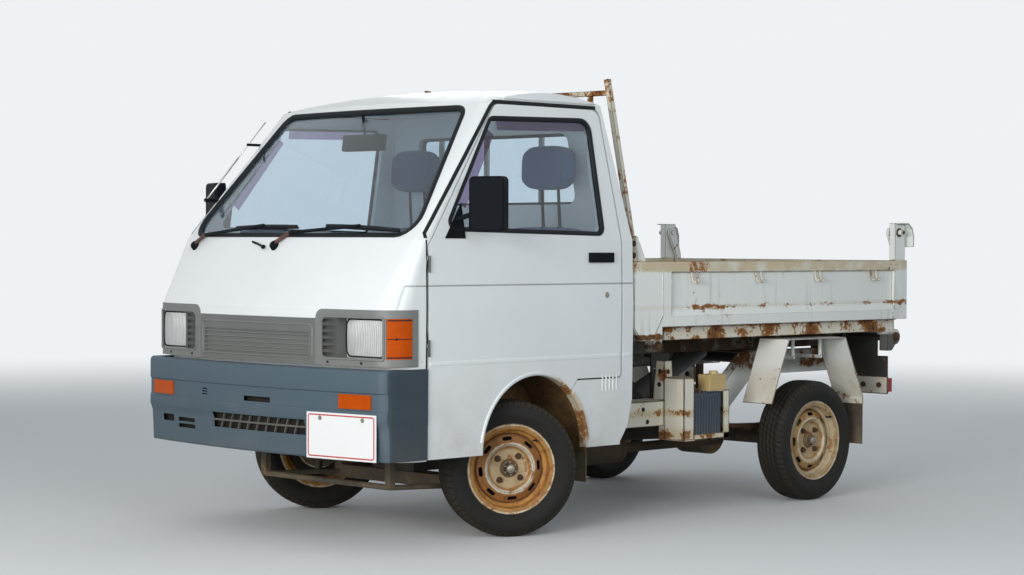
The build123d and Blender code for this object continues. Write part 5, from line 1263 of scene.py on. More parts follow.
# The same for the near-black lining behind it, a sheet of painted shade seen through the openings.
SHADE_LINING_FACE = [(560.0, 34.0), (360.0, 40.0)]
# The air intake's opening, and the step from fin to fin.
INTAKE = (-217.0, 313.0, 402.0, 458.0)
FIN_PITCH = 53.0
# Each row is one opening of the bumper: low and high X, low and high Z.
BUMPER_HOLES = [
    INTAKE, (-470.0, -350.0, 408.0, 423.0), (-470.0, -350.0, 384.0, 399.0),
    (-588.0, -502.0, 404.0, 430.0), (-20.0, 132.0, 510.0, 529.0), (-286.0, -250.0, 541.0, 545.0),
    (-286.0, -250.0, 531.0, 535.0), (-286.0, -250.0, 521.0, 525.0),
]


def bumper_path(breaks):
    """Rows of a place and an outward way round the bumper, with a stop at each break of the front."""
    turn_x = (BUMPER_HALF - BUMPER_CORNER) / (1.0 - BUMPER_CORNER / BOW_RADIUS)
    stops = sorted({-turn_x, turn_x, *breaks})
    fronts = [x for x, _ in filled_in([(x, 0.0) for x in stops], 36.0, False)]
    rows = [(x, bow(BUMPER_NOSE, x), x / BOW_RADIUS, -math.sqrt(1.0 - (x / BOW_RADIUS)**2)) for x in fronts]
    x, y, nx, ny = rows[-1]
    middle_x, middle_y = x - nx * BUMPER_CORNER, y - ny * BUMPER_CORNER
    first = math.atan2(ny, nx)
    left = []
    for step in range(1, 9):
        angle = first * (1.0 - step / 8.0)
        nx, ny = math.cos(angle), math.sin(angle)
        left.append((middle_x + BUMPER_CORNER * nx, middle_y + BUMPER_CORNER * ny, nx, ny))
    left += [(BUMPER_HALF, middle_y + (BUMPER_REAR - middle_y) * k / 3.0, 1.0, 0.0) for k in (1, 2, 3)]
    right = [(-x, y, -nx, ny) for x, y, nx, ny in reversed(left)]
    return right + rows + left


def bumper_skin(face, holes):
    """A sheet that follows the bumper, with openings left out."""
    path = bumper_path([x for hole in holes for x in hole[:2]])
    levels = list(face)
    for z in {z for hole in holes for z in hole[2:]}:
        for index, ((above, a), (below, b)) in enumerate(zip(levels, levels[1:])):
            if below < z < above:
                levels.insert(index + 1, (z, a + (b - a) * (above - z) / (above - below)))
                break
    bm = begin()
    columns, rows = len(path) - 1, len(levels) - 1
    bmesh.ops.create_grid(bm, x_segments=columns, y_segments=rows, size=0.5)
    flat = {}
    for vert in bm.verts:
        x, y, nx, ny = path[round((vert.co.x + 0.5) * columns)]
        level = round((0.5 - vert.co.y) * rows)
        z, inset = levels[level]
        if 0 < level < rows and face is BUMPER_FACE:
            inset *= max(0.1, -ny)
        flat[vert] = (x, z, ny)
        vert.co = at(x - nx * inset, y - ny * inset, z)
    gone = []
    for each in bm.faces:
        x, z, ny = [sum(flat[vert][k] for vert in each.verts) / 4.0 for k in range(3)]
        if ny < -0.9 and any(x0 < x < x1 and z0 < z < z1 for x0, x1, z0, z1 in holes):
            gone.append(each)
    bmesh.ops.delete(bm, geom=gone, context="FACES")
    if sum(each.normal.y * each.calc_area() for each in bm.faces) > 0:
        bmesh.ops.reverse_faces(bm, faces=bm.faces)
    return bm


class TRUCK_OT_bumper(bpy.types.Operator):
    """Bumper with its rolled edge, signal channel and air intake, and a near-black sheet of painted shade
    behind its openings, which stands for the plain bumper
    """
    bl_idname = "truck.bumper"
    bl_label = "Bumper"

    def execute(self, context):
        skin = finish("bumper_skin", bumper_skin(BUMPER_FACE, BUMPER_HOLES), "bumper", "chassis",
                      bevel=1.5, merge=False, shell=4.0)
        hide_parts("bumper")
        # Painted shade: a near-black sheet behind the bumper's openings.
        shade_lining = finish("bumper_shade_lining", bumper_skin(SHADE_LINING_FACE, []), "soot_and_shade", "chassis",
                        merge=False, shell=2.0)
        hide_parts("bumper")
        bm = begin()
        for index in range(9):
            x = INTAKE[0] + FIN_PITCH * (index + 1.0)
            add_box(bm, at(x, bow(BUMPER_NOSE, x) + 21.0, 430.0), (5.0, 9.0, 60.0), (0.0, 21.0, 0.0))
        xs = [INTAKE[0] + FIN_PITCH * k for k in range(11)]
        line = [at(x, bow(BUMPER_NOSE, x) + 16.0, 431.0) for x in xs]
        draw_along(bm, slab(3.5, -6.0, 3.5, 5.0), line, (0.0, -1.0, 0.0))
        fins = finish("intake_fins", bm, "fin", "chassis", bevel=0.8)
        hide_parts("bumper")
        return {"FINISHED"}


# Middle of the plate across and up.
PLATE_MIDDLE = (504.0, 408.5)
# Line inside the plate's edge, as rows of two places and a corner radius.
PLATE_BORDER = [(-156.0, -73.5, 8.0), (156.0, -73.5, 8.0), (156.0, 73.5, 8.0), (-156.0, 73.5, 8.0)]


class TRUCK_OT_number_plate(bpy.types.Operator):
    """Border line and screws of the blank number plate"""
    bl_idname = "truck.number_plate"
    bl_label = "Number Plate"

    def execute(self, context):
        middle, normal = from_front(surface("number_plate"), *PLATE_MIDDLE)
        turn = Matrix.Translation(middle) @ Matrix.Rotation(math.atan2(normal.x, -normal.y), 4, "Z")
        corners = rounded(PLATE_BORDER)
        line = [turn @ Vector((u / MM, -0.0002, v / MM)) for u, v in filled_in(corners, 60.0)]
        bm = begin()
        draw_along(bm, slab(2.4, -0.5, 2.4, 0.5), line, normal, True)
        finish("plate_border", bm, "red_line", "chassis")
        bm = begin()
        for u in (-100.0, 102.0):
            spot = turn @ Vector((u / MM, 0.0, 0.062))
            way = turn.to_3x3() @ Vector((0, -1, 0))
            add_rod(bm, spot, way, 6.0, 2.6, 6)
            add_rod(bm, spot, way, 8.5, 1.0, 20)
        finish("plate_screws", bm, "zinc", "chassis", bevel=0.4)
        return {"FINISHED"}


# Each row is one wheel: name, body, side, place along Y, height of its hub, and whether it steers.
WHEELS = [
    ("front_left", "wheel_front_left", 1.0, 0.0, 257.804, True),
    ("front_right", "wheel_front_right", -1.0, 0.0, 257.804, True),
    ("rear_left", "wheel_rear_left", 1.0, 1762.0, 256.0, False),
    ("rear_right", "wheel_rear_right", -1.0, 1762.0, 256.0, False),
]
# Degrees by which the front wheels stand turned in the rest pose.
STEER_ANGLE = 30.0
# Place of the wheels' middle across the truck.
WHEEL_X = 596.0


def wheel_matrix(side, y, z, steers):
    """Where a wheel drawn about the X axis, outer face towards +X, stands."""
    base = Matrix.Translation(at(WHEEL_X * side, y, z)) @ Matrix.Diagonal((side, 1.0, 1.0, 1.0))
    if not steers:
        return base
    low = at(STRUT_FOOT[0] * side, *STRUT_FOOT[1:])
    axis = Vector((STRUT_WAY[0] * side, *STRUT_WAY[1:]))
    turn = Matrix.Rotation(math.radians(-STEER_ANGLE), 4, axis)
    return Matrix.Translation(low) @ turn @ Matrix.Translation(-low) @ base


def moved(bm, matrix):
    """The piece set to its place."""
    bmesh.ops.transform(bm, matrix=matrix, verts=bm.verts)
    return bm


def turn_about(bm, section, steps):
    """Turns a closed section, in rows of outward place and radius, about the wheel's axis."""
    ring = [bm.verts.new((x / MM, 0.0, r / MM)) for x, r in section]
    edges = [bm.edges.new(pair) for pair in zip(ring, ring[1:] + ring[:1])]
    bmesh.ops.spin(bm, geom=ring + edges, cent=(0, 0, 0), axis=(1, 0, 0), angle=2 * math.pi, steps=steps,
                   use_merge=True)


# Outline of a tyre from one bead over the crown: outward place and radius.
TYRE_SIDE = [
    (44.0, 152.6), (49.4, 152.6), (54.0, 160.0), (56.8, 170.5), (60.5, 178.0), (66.5, 188.0),
    (71.5, 199.0), (73.2, 210.0), (71.6, 222.0), (68.0, 233.0), (66.2, 236.0), (63.5, 238.5),
    (60.5, 244.0), (57.0, 249.5), (51.0, 253.0),
]
TYRE_CROWN = [
    (46.0, 254.4), (33.5, 255.3), (32.5, 249.5), (28.0, 249.5), (27.0, 255.5), (13.5, 255.9),
    (12.5, 249.8), (7.5, 249.8), (6.5, 256.0),
]
TYRE_INSIDE = [(-44.0, 160.0), (-63.0, 203.0), (-46.0, 243.0), (46.0, 243.0), (63.0, 203.0), (44.0, 160.0)]
# In metres: the radius from which the map runs across the tread, and where it would end inside the wall.
TREAD_RADIUS = 0.2485
WALL_END = 0.3


class TRUCK_OT_tyres(bpy.types.Operator):
    """Tyres with grooved treads, which stand for the plain tyre solids"""
    bl_idname = "truck.tyres"
    bl_label = "Tyres"

    def execute(self, context):
        half = TYRE_SIDE + TYRE_CROWN
        outline = half + [(-x, r) for x, r in reversed(half)]
        for name, body, side, y, z, steers in WHEELS:
            bm = begin()
            matrix = wheel_matrix(side, y, z, steers)
            turn_about(bm, outline + TYRE_INSIDE, 72)
            bmesh.ops.remove_doubles(bm, verts=bm.verts, dist=1e-5)
            bmesh.ops.recalc_face_normals(bm, faces=bm.faces)
            layer = bm.loops.layers.uv.new("wheel")
            for face in bm.faces:
                middle = face.calc_center_median()
                about = math.atan2(middle.y, middle.z)
                for loop in face.loops:
                    spot = loop.vert.co
                    angle = math.atan2(spot.y, spot.z)
                    angle += 2 * math.pi * round((about - angle) / (2 * math.pi))
                    radius = math.hypot(spot.y, spot.z)
                    across = spot.x if radius > TREAD_RADIUS else math.copysign(WALL_END - radius, spot.x)
                    loop[layer].uv = (angle / (2 * math.pi), across)
            bmesh.ops.transform(bm, matrix=matrix, verts=bm.verts)
            if side < 0:
                bmesh.ops.reverse_faces(bm, faces=bm.faces)
            piece = finish(f"tyre_{name}_dressed", bm, "tread", body, merge=False)
            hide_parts(f"tyre_{name}")
        return {"FINISHED"}


# Section of the dark plate that shows through a wheel's slots: outward place and radius.
BACKING = [(-16.0, 90.0), (-12.0, 90.0), (-12.0, 126.5), (-16.0, 126.5)]


class TRUCK_OT_wheel_parts(bpy.types.Operator):
    """Wheel nuts, hub caps, brake backing plates and valves"""
    bl_idname = "truck.wheel_parts"
    bl_label = "Wheel Parts"

    def execute(self, context):
        radius = context.scene.truck_sizes.nut_radius * MM
        for name, body, side, y, z, steers in WHEELS:
            matrix = wheel_matrix(side, y, z, steers)
            bm = begin()
            for index in range(4):
                angle = math.radians(45.0 + 90.0 * index)
                spot = Vector((0.018, 0.057 * math.sin(angle), 0.057 * math.cos(angle)))
                ahead = Vector((1, 0, 0))
                washer, nut = (radius + 1.5, 3.0, 2.5, 20, radius), (radius, 5.0, 11.0, 6, radius * 0.9)
                for r, start, length, count, end in (washer, nut, (5.0, 10.0, 12.0, 12, 4.2)):
                    add_rod(bm, spot + ahead * start / MM, ahead, r, length, count, end)
            finish(f"wheel_nuts_{name}", moved(bm, matrix), "rust", body, bevel=0.6)
            bm = begin()
            add_rod(bm, (0.045, 0.0, 0.0), (1, 0, 0), 17.0, 6.0, 24, 15.0)
            add_dome(bm, (0.050, 0.0, 0.0), (1, 0, 0), 14.0, 5.0, 24)
            for index in range(6):
                angle = math.radians(60.0 * index)
                spot = (0.041, 0.023 * math.sin(angle), 0.023 * math.cos(angle))
                add_box(bm, spot, (8.0, 5.0, 5.0), (60.0 * index, 0, 0))
            finish(f"hub_cap_{name}", moved(bm, matrix), "zinc", body, bevel=0.8)
            bm = begin()
            turn_about(bm, BACKING, 48)
            finish(f"brake_backing_{name}", moved(bm, matrix), "soot_and_shade", body)
            bm = begin()
            add_rod(bm, (0.040, 0.100, 0.094), (1.0, 0.12, 0.1), 4.0, 20.0, 12, 3.0)
            add_rod(bm, (0.058, 0.102, 0.096), (1.0, 0.12, 0.1), 4.6, 8.0, 12)
            finish(f"valve_{name}", moved(bm, matrix), "rubber", body, bevel=0.5)
        return {"FINISHED"}


# Each row is one seat: its side, the cushion's X and the headrest's X.
SEAT_SIDES = (("left", 340.0, 385.0), ("right", -340.0, -385.0))


def pad(name, middle, size, lean, corner=0.03):
    """A crowned pad, swollen as cloth over stuffing."""
    bm = begin()
    matrix = turned(at(*middle), (lean, 0.0, 0.0), [s / MM for s in size])
    verts = new_part(bm, bmesh.ops.create_cube, Matrix.Identity(4), size=1.0)
    bmesh.ops.subdivide_edges(bm, edges=bm.edges, cuts=9, use_grid_fill=True)
    for vert in bm.verts:
        u, v, w = vert.co * 2.0
        crown = (1 - u**4) * (1 - w**4), (1 - v**4) * (1 - w**4), (1 - u**4) * (1 - v**4)
        pull = 0.94 + 0.06 * crown[0], 0.94 + 0.06 * crown[1], 0.94 + 0.06 * crown[2]
        drawn = 1.0 - corner * (u * w)**4
        vert.co = Vector((vert.co.x * pull[1] * drawn, vert.co.y * pull[0], vert.co.z * pull[2] * drawn))
    bmesh.ops.transform(bm, matrix=matrix, verts=bm.verts)
    piece = finish(name, bm, "cloth", "chassis", subdivide=2)
    return piece


class TRUCK_OT_seats(bpy.types.Operator):
    """Stuffed cushions, backs and headrests, which stand for the plain seat solids"""
    bl_idname = "truck.seats"
    bl_label = "Seats"

    def execute(self, context):
        for side, x, head_x in SEAT_SIDES:
            cushion = pad(f"seat_cushion_{side}", (x, 112.0, 770.0), (446.0, 436.0, 98.0), -2.0)
            back = pad(f"seat_back_{side}", (x, 403.0, 985.0), (446.0, 84.0, 350.0), -10.5)
            head = pad(f"headrest_{side}", (head_x, 390.0, 1391.0), (252.0, 70.0, 172.0), -3.0, 0.2)
            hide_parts("seat_cushions")
            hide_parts("seat_backs")
            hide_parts("seat_backs")
            posts = begin()
            for dx in (-45.0, 45.0):
                add_rod(posts, at(head_x + dx, 410.0, 1130.0), (0.0, -12.0, 190.0), 6.0, 190.0, 16)
                add_rod(posts, at(head_x + dx, 408.5, 1150.0), (0.0, -12.0, 190.0), 12.0, 10.0, 20)
            piece = finish(f"headrest_posts_{side}", posts, "black", "chassis", bevel=0.8)
            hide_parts("seat_backs")
        return {"FINISHED"}


# Edge of a door mirror's glass, as rows of two places and a corner radius.
MIRROR_EDGE = [(-62.0, -92.0, 14.0), (62.0, -92.0, 14.0), (62.0, 92.0, 14.0), (-62.0, 92.0, 14.0)]
# Middle of the left mirror's housing, and how far behind it in metres the glass stands.
MIRROR_PLACE = (795.0, -340.0, 1235.0)
MIRROR_DEPTH = 0.0226


class TRUCK_OT_mirrors(bpy.types.Operator):
    """Glass in the door mirrors and the mirror inside the cab"""
    bl_idname = "truck.mirrors"
    bl_label = "Mirrors"

    def execute(self, context):
        for side, sign in SIDES:
            bm = begin()
            turn = turned(at(MIRROR_PLACE[0] * sign, *MIRROR_PLACE[1:]), (0.0, 0.0, 20.0 * sign))
            outline = rounded(MIRROR_EDGE)
            verts = [bm.verts.new(turn @ Vector((u / MM, MIRROR_DEPTH, v / MM))) for u, v in outline]
            bm.faces.new(verts)
            bmesh.ops.solidify(bm, geom=list(bm.faces), thickness=0.001)
            finish(f"mirror_glass_{side}", bm, "mirror", f"door_{side}", flat=True)
        bm = begin()
        add_box(bm, at(0.0, -232.0, 1478.0), (230.0, 24.0, 62.0), (-8.0, 0.0, 0.0))
        add_rod(bm, at(0.0, -226.0, 1500.0), (0.0, -0.15, 1.0), 6.0, 85.0, 12)
        finish("inner_mirror", bm, "black", "chassis", bevel=9.0, segments=4)
        return {"FINISHED"}


# Height of the low ridge and of the roof's gutter, and how far out the outer skin lies at least, in metres.
RIDGE_LEVEL = 663.0
GUTTER_LEVEL = 1634.0
OUTER_SKIN = 0.6
# The door's front and top edge and the middle of the visor, as places along and up.
DOOR_EDGE = [(-544.0, 1112.0), (-541.0, 1130.0), (-141.0, 1600.0), (-118.0, 1621.0), (470.0, 1621.0)]
VISOR_LINES = [[(-110.0, 1533.0), (360.0, 1545.0)], [(-340.0, 1232.0), (-150.0, 1505.0)]]


class TRUCK_OT_cab_details(bpy.types.Operator):
    """Gutters, locks, step ribs, arch lips, ridges, weather strips that also stand for the shade of the
    door's gap, and visors of the cab's sides
    """
    bl_idname = "truck.cab_details"
    bl_label = "Cab Details"

    def execute(self, context):
        bm = begin()
        skin = surface("roof")
        line = [from_side(skin, y, GUTTER_LEVEL)[0] for y in range(-100, 461, 40)]
        draw_along(bm, [(-4.0, -2.0), (4.0, -2.0), (4.0, 5.0), (1.0, 8.0), (-4.0, 3.0)], line, (1, 0, 0.1))
        mirror_piece(bm)
        finish("roof_gutters", bm, "body", "chassis", bevel=1.0)
        for side, sign in SIDES:
            bm = begin()
            hit, normal = from_side(surface(f"door_{side}"), 400.0, 898.0, sign)
            add_rod(bm, hit - normal * 0.002, normal, 12.0, 4.5, 24, 10.0)
            add_box(bm, hit + normal * 0.003, (1.2, 2.5, 11.0))
            finish(f"door_lock_{side}", bm, "zinc", f"door_{side}", bevel=0.6)
            bm = begin()
            corner = surface("quarter_panels", "rear_wall")
            for index in range(5):
                hit, _ = from_side(corner, 380.0 + 20.0 * index, 560.0, sign)
                add_box(bm, hit, (4.0, 7.0, 60.0))
            finish(f"step_ribs_{side}", bm, "body", "chassis", bevel=2.0, segments=3)
            self.arch_lips(side, sign)
            self.pressed_ridge(side, sign)
            self.door_trim(side, sign)
        return {"FINISHED"}

    def pressed_ridge(self, side, sign):
        """The low ridge along the door and the quarter panel over the wheel's opening."""
        door = f"door_{side}"
        for node, owner, first, last in ((door, door, -522.0, 474.0), ("rear_wall", "chassis", 490.0, 540.0)):
            spots = [(first + (last - first) * k / 20.0, RIDGE_LEVEL) for k in range(21)]
            line, ways = side_line(surface(node), sign, spots)
            if len(line) < 2:
                raise RuntimeError(f"{node} has no side at the ridge's height")
            bm = begin()
            draw_along(bm, [(-11.0, -1.0), (11.0, -1.0), (5.0, 2.6), (-1.0, 2.6)], line, ways)
            finish(f"pressed_ridge_{node}_{side}", bm, "body", owner, bevel=1.2)

    def arch_lips(self, side, sign):
        """The turned lip round the front wheel's opening, on the door and on the quarter panel."""
        door = f"door_{side}"
        for node, owner, first, last in ((door, door, 66.0, 172.0), ("quarter_panels", "chassis", 4.0, 50.0)):
            angles = [math.radians(first + (last - first) * step / 24.0) for step in range(25)]
            spots = [(ARCH[0] + ARCH[2] * math.cos(a), ARCH[1] + ARCH[2] * math.sin(a)) for a in angles]
            line, ways = side_line(surface(node), sign, spots, OUTER_SKIN)
            bm = begin()
            draw_along(bm, [(-8.0, -1.0), (8.0, -1.0), (5.5, 3.5), (0.0, 5.0), (-5.5, 3.5)], line, ways)
            finish(f"arch_lip_{node}_{side}", bm, "body", owner, bevel=1.0)

    def door_trim(self, side, sign):
        """Black weather strip before and over the door, wider than the rubber so that it also stands for the
        shade of the door's gap as painted shade, and the tinted visor at the window's top.
        """
        post = surface("windscreen_frame", "front_panel", "roof", "rear_wall", "quarter_panels")
        line, ways = side_line(post, sign, filled_in(DOOR_EDGE, 40.0, False), 0.45)
        bm = begin()
        # Painted shade: the strip over the door is wider than the rubber, to take in the shade of the door's
        # gap.
        draw_along(bm, slab(7.5, -2.0, 6.0, 2.4), line, ways)
        # Painted shade: the same dark strip, thinner, runs down the door's front gap low on the front panel.
        gap = [(-542.0, 346.0 + 40.0 * k) for k in range(20)]
        line, _ = side_line(surface("front_panel"), sign, gap, OUTER_SKIN)
        draw_along(bm, slab(3.5, -2.0, 3.5, 0.8), line, (sign, 0, 0))
        finish(f"door_weather_strip_and_shade_{side}", bm, "rubber", "chassis", bevel=0.6)
        glass = surface(f"door_glass_{side}")
        bm = begin()
        for ends in VISOR_LINES:
            spots = [from_side(glass, y, z, sign) for y, z in filled_in(ends, 50.0, False)]
            line = [hit + normal * 0.0035 for hit, normal in spots]
            draw_along(bm, slab(19.0, -0.8, 19.0, 0.8), line, [n for _, n in spots])
        finish(f"door_visor_{side}", bm, "visor", f"door_{side}", flat=True)


# Places along the bed where rope hooks hang under the top rail.
HOOK_YS = (929.0, 1336.0, 1735.0, 2137.0)
# Outline of the foot plate behind each guard post, along and up.
GUSSET = [(591.0, 1024.0), (591.0, 1126.0), (599.0, 1126.0), (655.0, 1024.0)]


class TRUCK_OT_bed_details(bpy.types.Operator):
    """Rope hooks, bolts, hinge pin washers and corner seams of the bed"""
    bl_idname = "truck.bed_details"
    bl_label = "Bed Details"

    def execute(self, context):
        radius = context.scene.truck_sizes.hook_radius * MM
        bm = begin()
        for y in HOOK_YS:
            for shift in (-17.0, 17.0):
                path = [(680.0, y + shift, 994.0), (684.0, y + shift, 962.0), (689.0, y + shift + 3, 944.0),
                        (696.0, y + shift + 6, 942.0), (699.0, y + shift + 8, 950.0)]
                bent_bar(bm, path, radius, 4, (1.0, 0.0, 0.0), 8)
        mirror_piece(bm)
        finish("rope_hooks", bm, "guard", "bed")
        bm = begin()
        for z in (1050.0, 1096.0):
            add_rod(bm, at(676.0, 571.0, z), (0, -1, 0), 9.0, 7.0, 6)
            add_rod(bm, at(676.0, 573.0, z), (0, -1, 0), 12.0, 3.0, 20)
        for y, z in ((2350.0, 685.0), (744.0, 690.0)):
            add_rod(bm, at(650.0, y, z), (1, 0, 0), 20.0, 6.0, 24)
            add_rod(bm, at(655.0, y, z), (1, 0, 0), 14.0, 9.0, 6)
        mirror_piece(bm)
        finish("bed_bolts", bm, "rust", "bed", bevel=0.8)
        bm = begin()
        add_rod(bm, at(714.5, 2312.0, 1150.0), (1, 0, 0), 7.0, 5.0, 16)
        add_rod(bm, at(690.6, 2312.0, 1150.0), (1, 0, 0), 20.0, 3.0, 28)
        mirror_piece(bm)
        finish("gate_pin_washers", bm, "rust", "tailgate", bevel=0.8)
        bm = begin()
        side_sheet(bm, GUSSET, 664.0, 669.0)
        add_rod(bm, at(690.0, 728.0, 810.0), (0, 0, 1), 2.2, 172.0, 12)
        add_rod(bm, at(690.0, 668.0, 716.0), (0.0, 60.0, 94.0), 2.2, 111.5, 12)
        mirror_piece(bm)
        finish("bed_corner_seams", bm, "bed", "bed", bevel=0.8)
        return {"FINISHED"}


# Each row is one sheet of the battery carrier: its X, Y and Z ranges.
CARRIER_SHEETS = [
    (622.0, 626.0, 935.0, 998.0, 300.0, 554.0), (520.0, 626.0, 935.0, 939.0, 300.0, 554.0),
    (520.0, 626.0, 994.0, 998.0, 300.0, 554.0), (520.0, 626.0, 935.0, 998.0, 550.0, 554.0),
    (490.0, 630.0, 935.0, 1216.0, 297.0, 303.0), (626.0, 630.0, 998.0, 1216.0, 297.0, 322.0),
    (490.0, 630.0, 1212.0, 1216.0, 297.0, 497.0), (626.0, 630.0, 1180.0, 1216.0, 297.0, 497.0),
    (490.0, 630.0, 1097.0, 1216.0, 493.0, 497.0), (490.0, 494.0, 994.0, 1216.0, 297.0, 497.0),
    (490.0, 524.0, 935.0, 939.0, 297.0, 459.0), (511.0, 515.0, 690.0, 939.0, 357.0, 459.0),
    (390.0, 515.0, 690.0, 998.0, 455.0, 459.0), (390.0, 515.0, 690.0, 694.0, 357.0, 459.0),
    (390.0, 490.0, 1146.0, 1186.0, 350.0, 438.0),
]
# Each row is one hole of the carrier, drawn as a near-black disc of painted shade: its place and the way it
# looks.
CARRIER_HOLE_SHADES = [
    (514.0, 812.0, 427.0, (1, 0, 0)), (514.0, 838.0, 376.0, (1, 0, 0)), (514.0, 964.0, 574.0, (1, 0, 0)),
    (493.0, 940.0, 576.0, (0, -1, 0)), (489.0, 940.0, 522.0, (0, -1, 0)),
]
# The strut's spring: start above the ball joint, length and radius in metres, turns, and points of its line.
SPRING_START = 0.392
SPRING_LENGTH = 0.098
SPRING_RADIUS = 0.040
SPRING_TURNS = 3.0
SPRING_STEPS = 60


class TRUCK_OT_chassis_details(bpy.types.Operator):
    """Battery with its carrier, fluid tank, coil springs, silencer bands and lamp plates with studs"""
    bl_idname = "truck.chassis_details"
    bl_label = "Chassis Details"

    def execute(self, context):
        self.carrier()
        self.battery()
        bm = begin()
        for y in (350.0, 615.0, 878.0):
            add_rod(bm, at(295.0, y, 250.0), (0, 1, 0), 60.5, 10.0, 48)
        finish("silencer_bands", bm, "rust", "chassis", bevel=1.5)
        for side, sign in SIDES:
            low = at(STRUT_FOOT[0] * sign, *STRUT_FOOT[1:])
            axis = Vector((STRUT_WAY[0] * sign, *STRUT_WAY[1:]))
            start = low + axis * SPRING_START
            side_way = Vector((0.0, 1.0, 0.0))
            other = axis.cross(side_way)
            line = []
            for k in range(SPRING_STEPS + 1):
                angle = 2 * math.pi * SPRING_TURNS * k / SPRING_STEPS
                out = side_way * math.cos(angle) + other * math.sin(angle)
                line.append(start + axis * (SPRING_LENGTH * k / SPRING_STEPS) + out * SPRING_RADIUS)
            bm = begin()
            draw_along(bm, circle(6.0, 8), line, axis)
            finish(f"coil_spring_{side}", bm, "black_paint", f"knuckle_{side}")
        bm = begin()
        for x in (520.0, 605.0):
            add_rod(bm, at(x, 2292.0, 470.0), (0, -1, 0), 12.0, 7.0, 20)
            add_rod(bm, at(x, 2286.0, 470.0), (0, -1, 0), 7.0, 8.0, 6)
        mirror_piece(bm)
        finish("lamp_plate_studs", bm, "rust", "chassis", bevel=1.0)
        bm = begin()
        add_box(bm, at(562.5, 2294.0, 469.5), (165.0, 3.0, 73.0))
        mirror_piece(bm)
        finish("lamp_plates", bm, "guards", "chassis", bevel=0.8)
        return {"FINISHED"}

    def carrier(self):
        """Folded sheets of the battery's cover and tray, with the ledge and the holed stand, whose holes are
        near-black discs of painted shade.
        """
        bm = begin()
        for x0, x1, y0, y1, z0, z1 in CARRIER_SHEETS:
            add_box(bm, at((x0 + x1) / 2, (y0 + y1) / 2, (z0 + z1) / 2), (x1 - x0, y1 - y0, z1 - z0))
        side_sheet(bm, [(939.0, 458.0), (939.0, 618.0), (985.0, 618.0), (998.0, 458.0)], 511.0, 515.0)
        fronts = [frame_matrix(at(0.0, y, 0.0), Vector((1, 0, 0)), Vector((0, 0, 1))) for y in (943.0, 939.0)]
        sweep(bm, [(455.0, 458.0), (473.0, 618.0), (515.0, 618.0), (515.0, 458.0)], fronts)
        piece = finish("battery_carrier", bm, "carrier", "chassis", bevel=1.2, merge=False)
        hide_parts("battery_box")
        bm = begin()
        # Painted shade: near-black discs stand for the carrier's holes.
        for x, y, z, way in CARRIER_HOLE_SHADES:
            add_rod(bm, at(x, y, z), way, 9.5, 2.0, 20)
        finish("carrier_hole_shades", bm, "soot_and_shade", "chassis")

    def battery(self):
        """Ribbed battery with its caps and leads, and the fluid tank behind it."""
        bm = begin()
        add_box(bm, at(559.0, 1086.5, 396.0), (124.0, 171.0, 186.0))
        for k in range(9):
            add_box(bm, at(622.0, 1020.0 + 17.0 * k, 392.0), (4.0, 7.0, 160.0))
        piece = finish("battery_case", bm, "battery", "chassis", bevel=2.0, merge=False)
        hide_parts("battery")
        bm = begin()
        for k in range(6):
            add_rod(bm, at(590.0, 1020.0 + 26.0 * k, 488.0), (0, 0, 1), 9.0, 7.0, 16)
        lead = [(600.0, 1030.0, 492.0), (604.0, 1025.0, 510.0), (570.0, 1040.0, 524.0),
                (520.0, 1060.0, 512.0)]
        bent_bar(bm, lead, 5.0)
        finish("battery_caps", bm, "arm", "chassis", bevel=0.8)
        bm = begin()
        add_box(bm, at(589.0, 1154.0, 529.0), (64.0, 104.0, 64.0))
        add_box(bm, at(589.0, 1154.0, 546.0), (66.0, 106.0, 5.0))
        piece = finish("fluid_tank_shell", bm, "tank", "chassis", bevel=6.0, segments=3,
                       merge=False)
        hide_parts("fluid_tank")
        bm = begin()
        add_rod(bm, at(590.0, 1160.0, 560.0), (0, 0, 1), 20.0, 14.0, 24, 18.0)
        finish("fluid_tank_cap", bm, "tank", "chassis", bevel=1.5)


# Colour of the surroundings, the camera's place, turns in radians, lens and shift, and the floor's radius.
BACKDROP = (0.86, 0.89, 0.91)
CAMERA_PLACE = (6.5586, -6.7610, 1.0971)
CAMERA_TURN = (0.786453, -0.020112, 0.0044746)
CAMERA_LENS = 79.17
CAMERA_SHIFT = 0.000537
FLOOR_RADIUS = 40.0
# Distances in metres between which the floor melts into the surroundings.
FLOOR_FADE = (5.0, 13.0)
# Each row is one soft lamp: name, place, what it faces, size, share of the power, colour.
LAMPS = [
    ("front_lamp", (-2.5, -7.0, 3.0), (0.0, -0.5, 0.8), (4.5, 3.5), 0.12, (1.0, 0.97, 0.94)),
    ("side_lamp", (7.6, -3.0, 3.0), (0.0, 0.3, 0.7), (4.5, 3.5), 0.52, (0.92, 0.97, 1.0)),
    ("main_lamp", (3.4, -8.0, 2.0), (0.6, 0.4, 0.6), (3.4, 2.6), 1.40, (1.0, 0.985, 0.965)),
    ("rear_lamp", (-4.5, 5.5, 4.0), (0.0, 0.5, 0.8), (4.0, 3.0), 0.16, (1.0, 0.98, 0.95)),
]


def seen_rays(tree):
    """One for what the camera sees straight, in a mirror or through glass, else nothing."""
    path = add(tree, "LightPath").outputs
    seen = calc(tree, "MAXIMUM", path["Is Camera Ray"], path["Is Glossy Ray"])
    return calc(tree, "MAXIMUM", seen, path["Is Transmission Ray"])


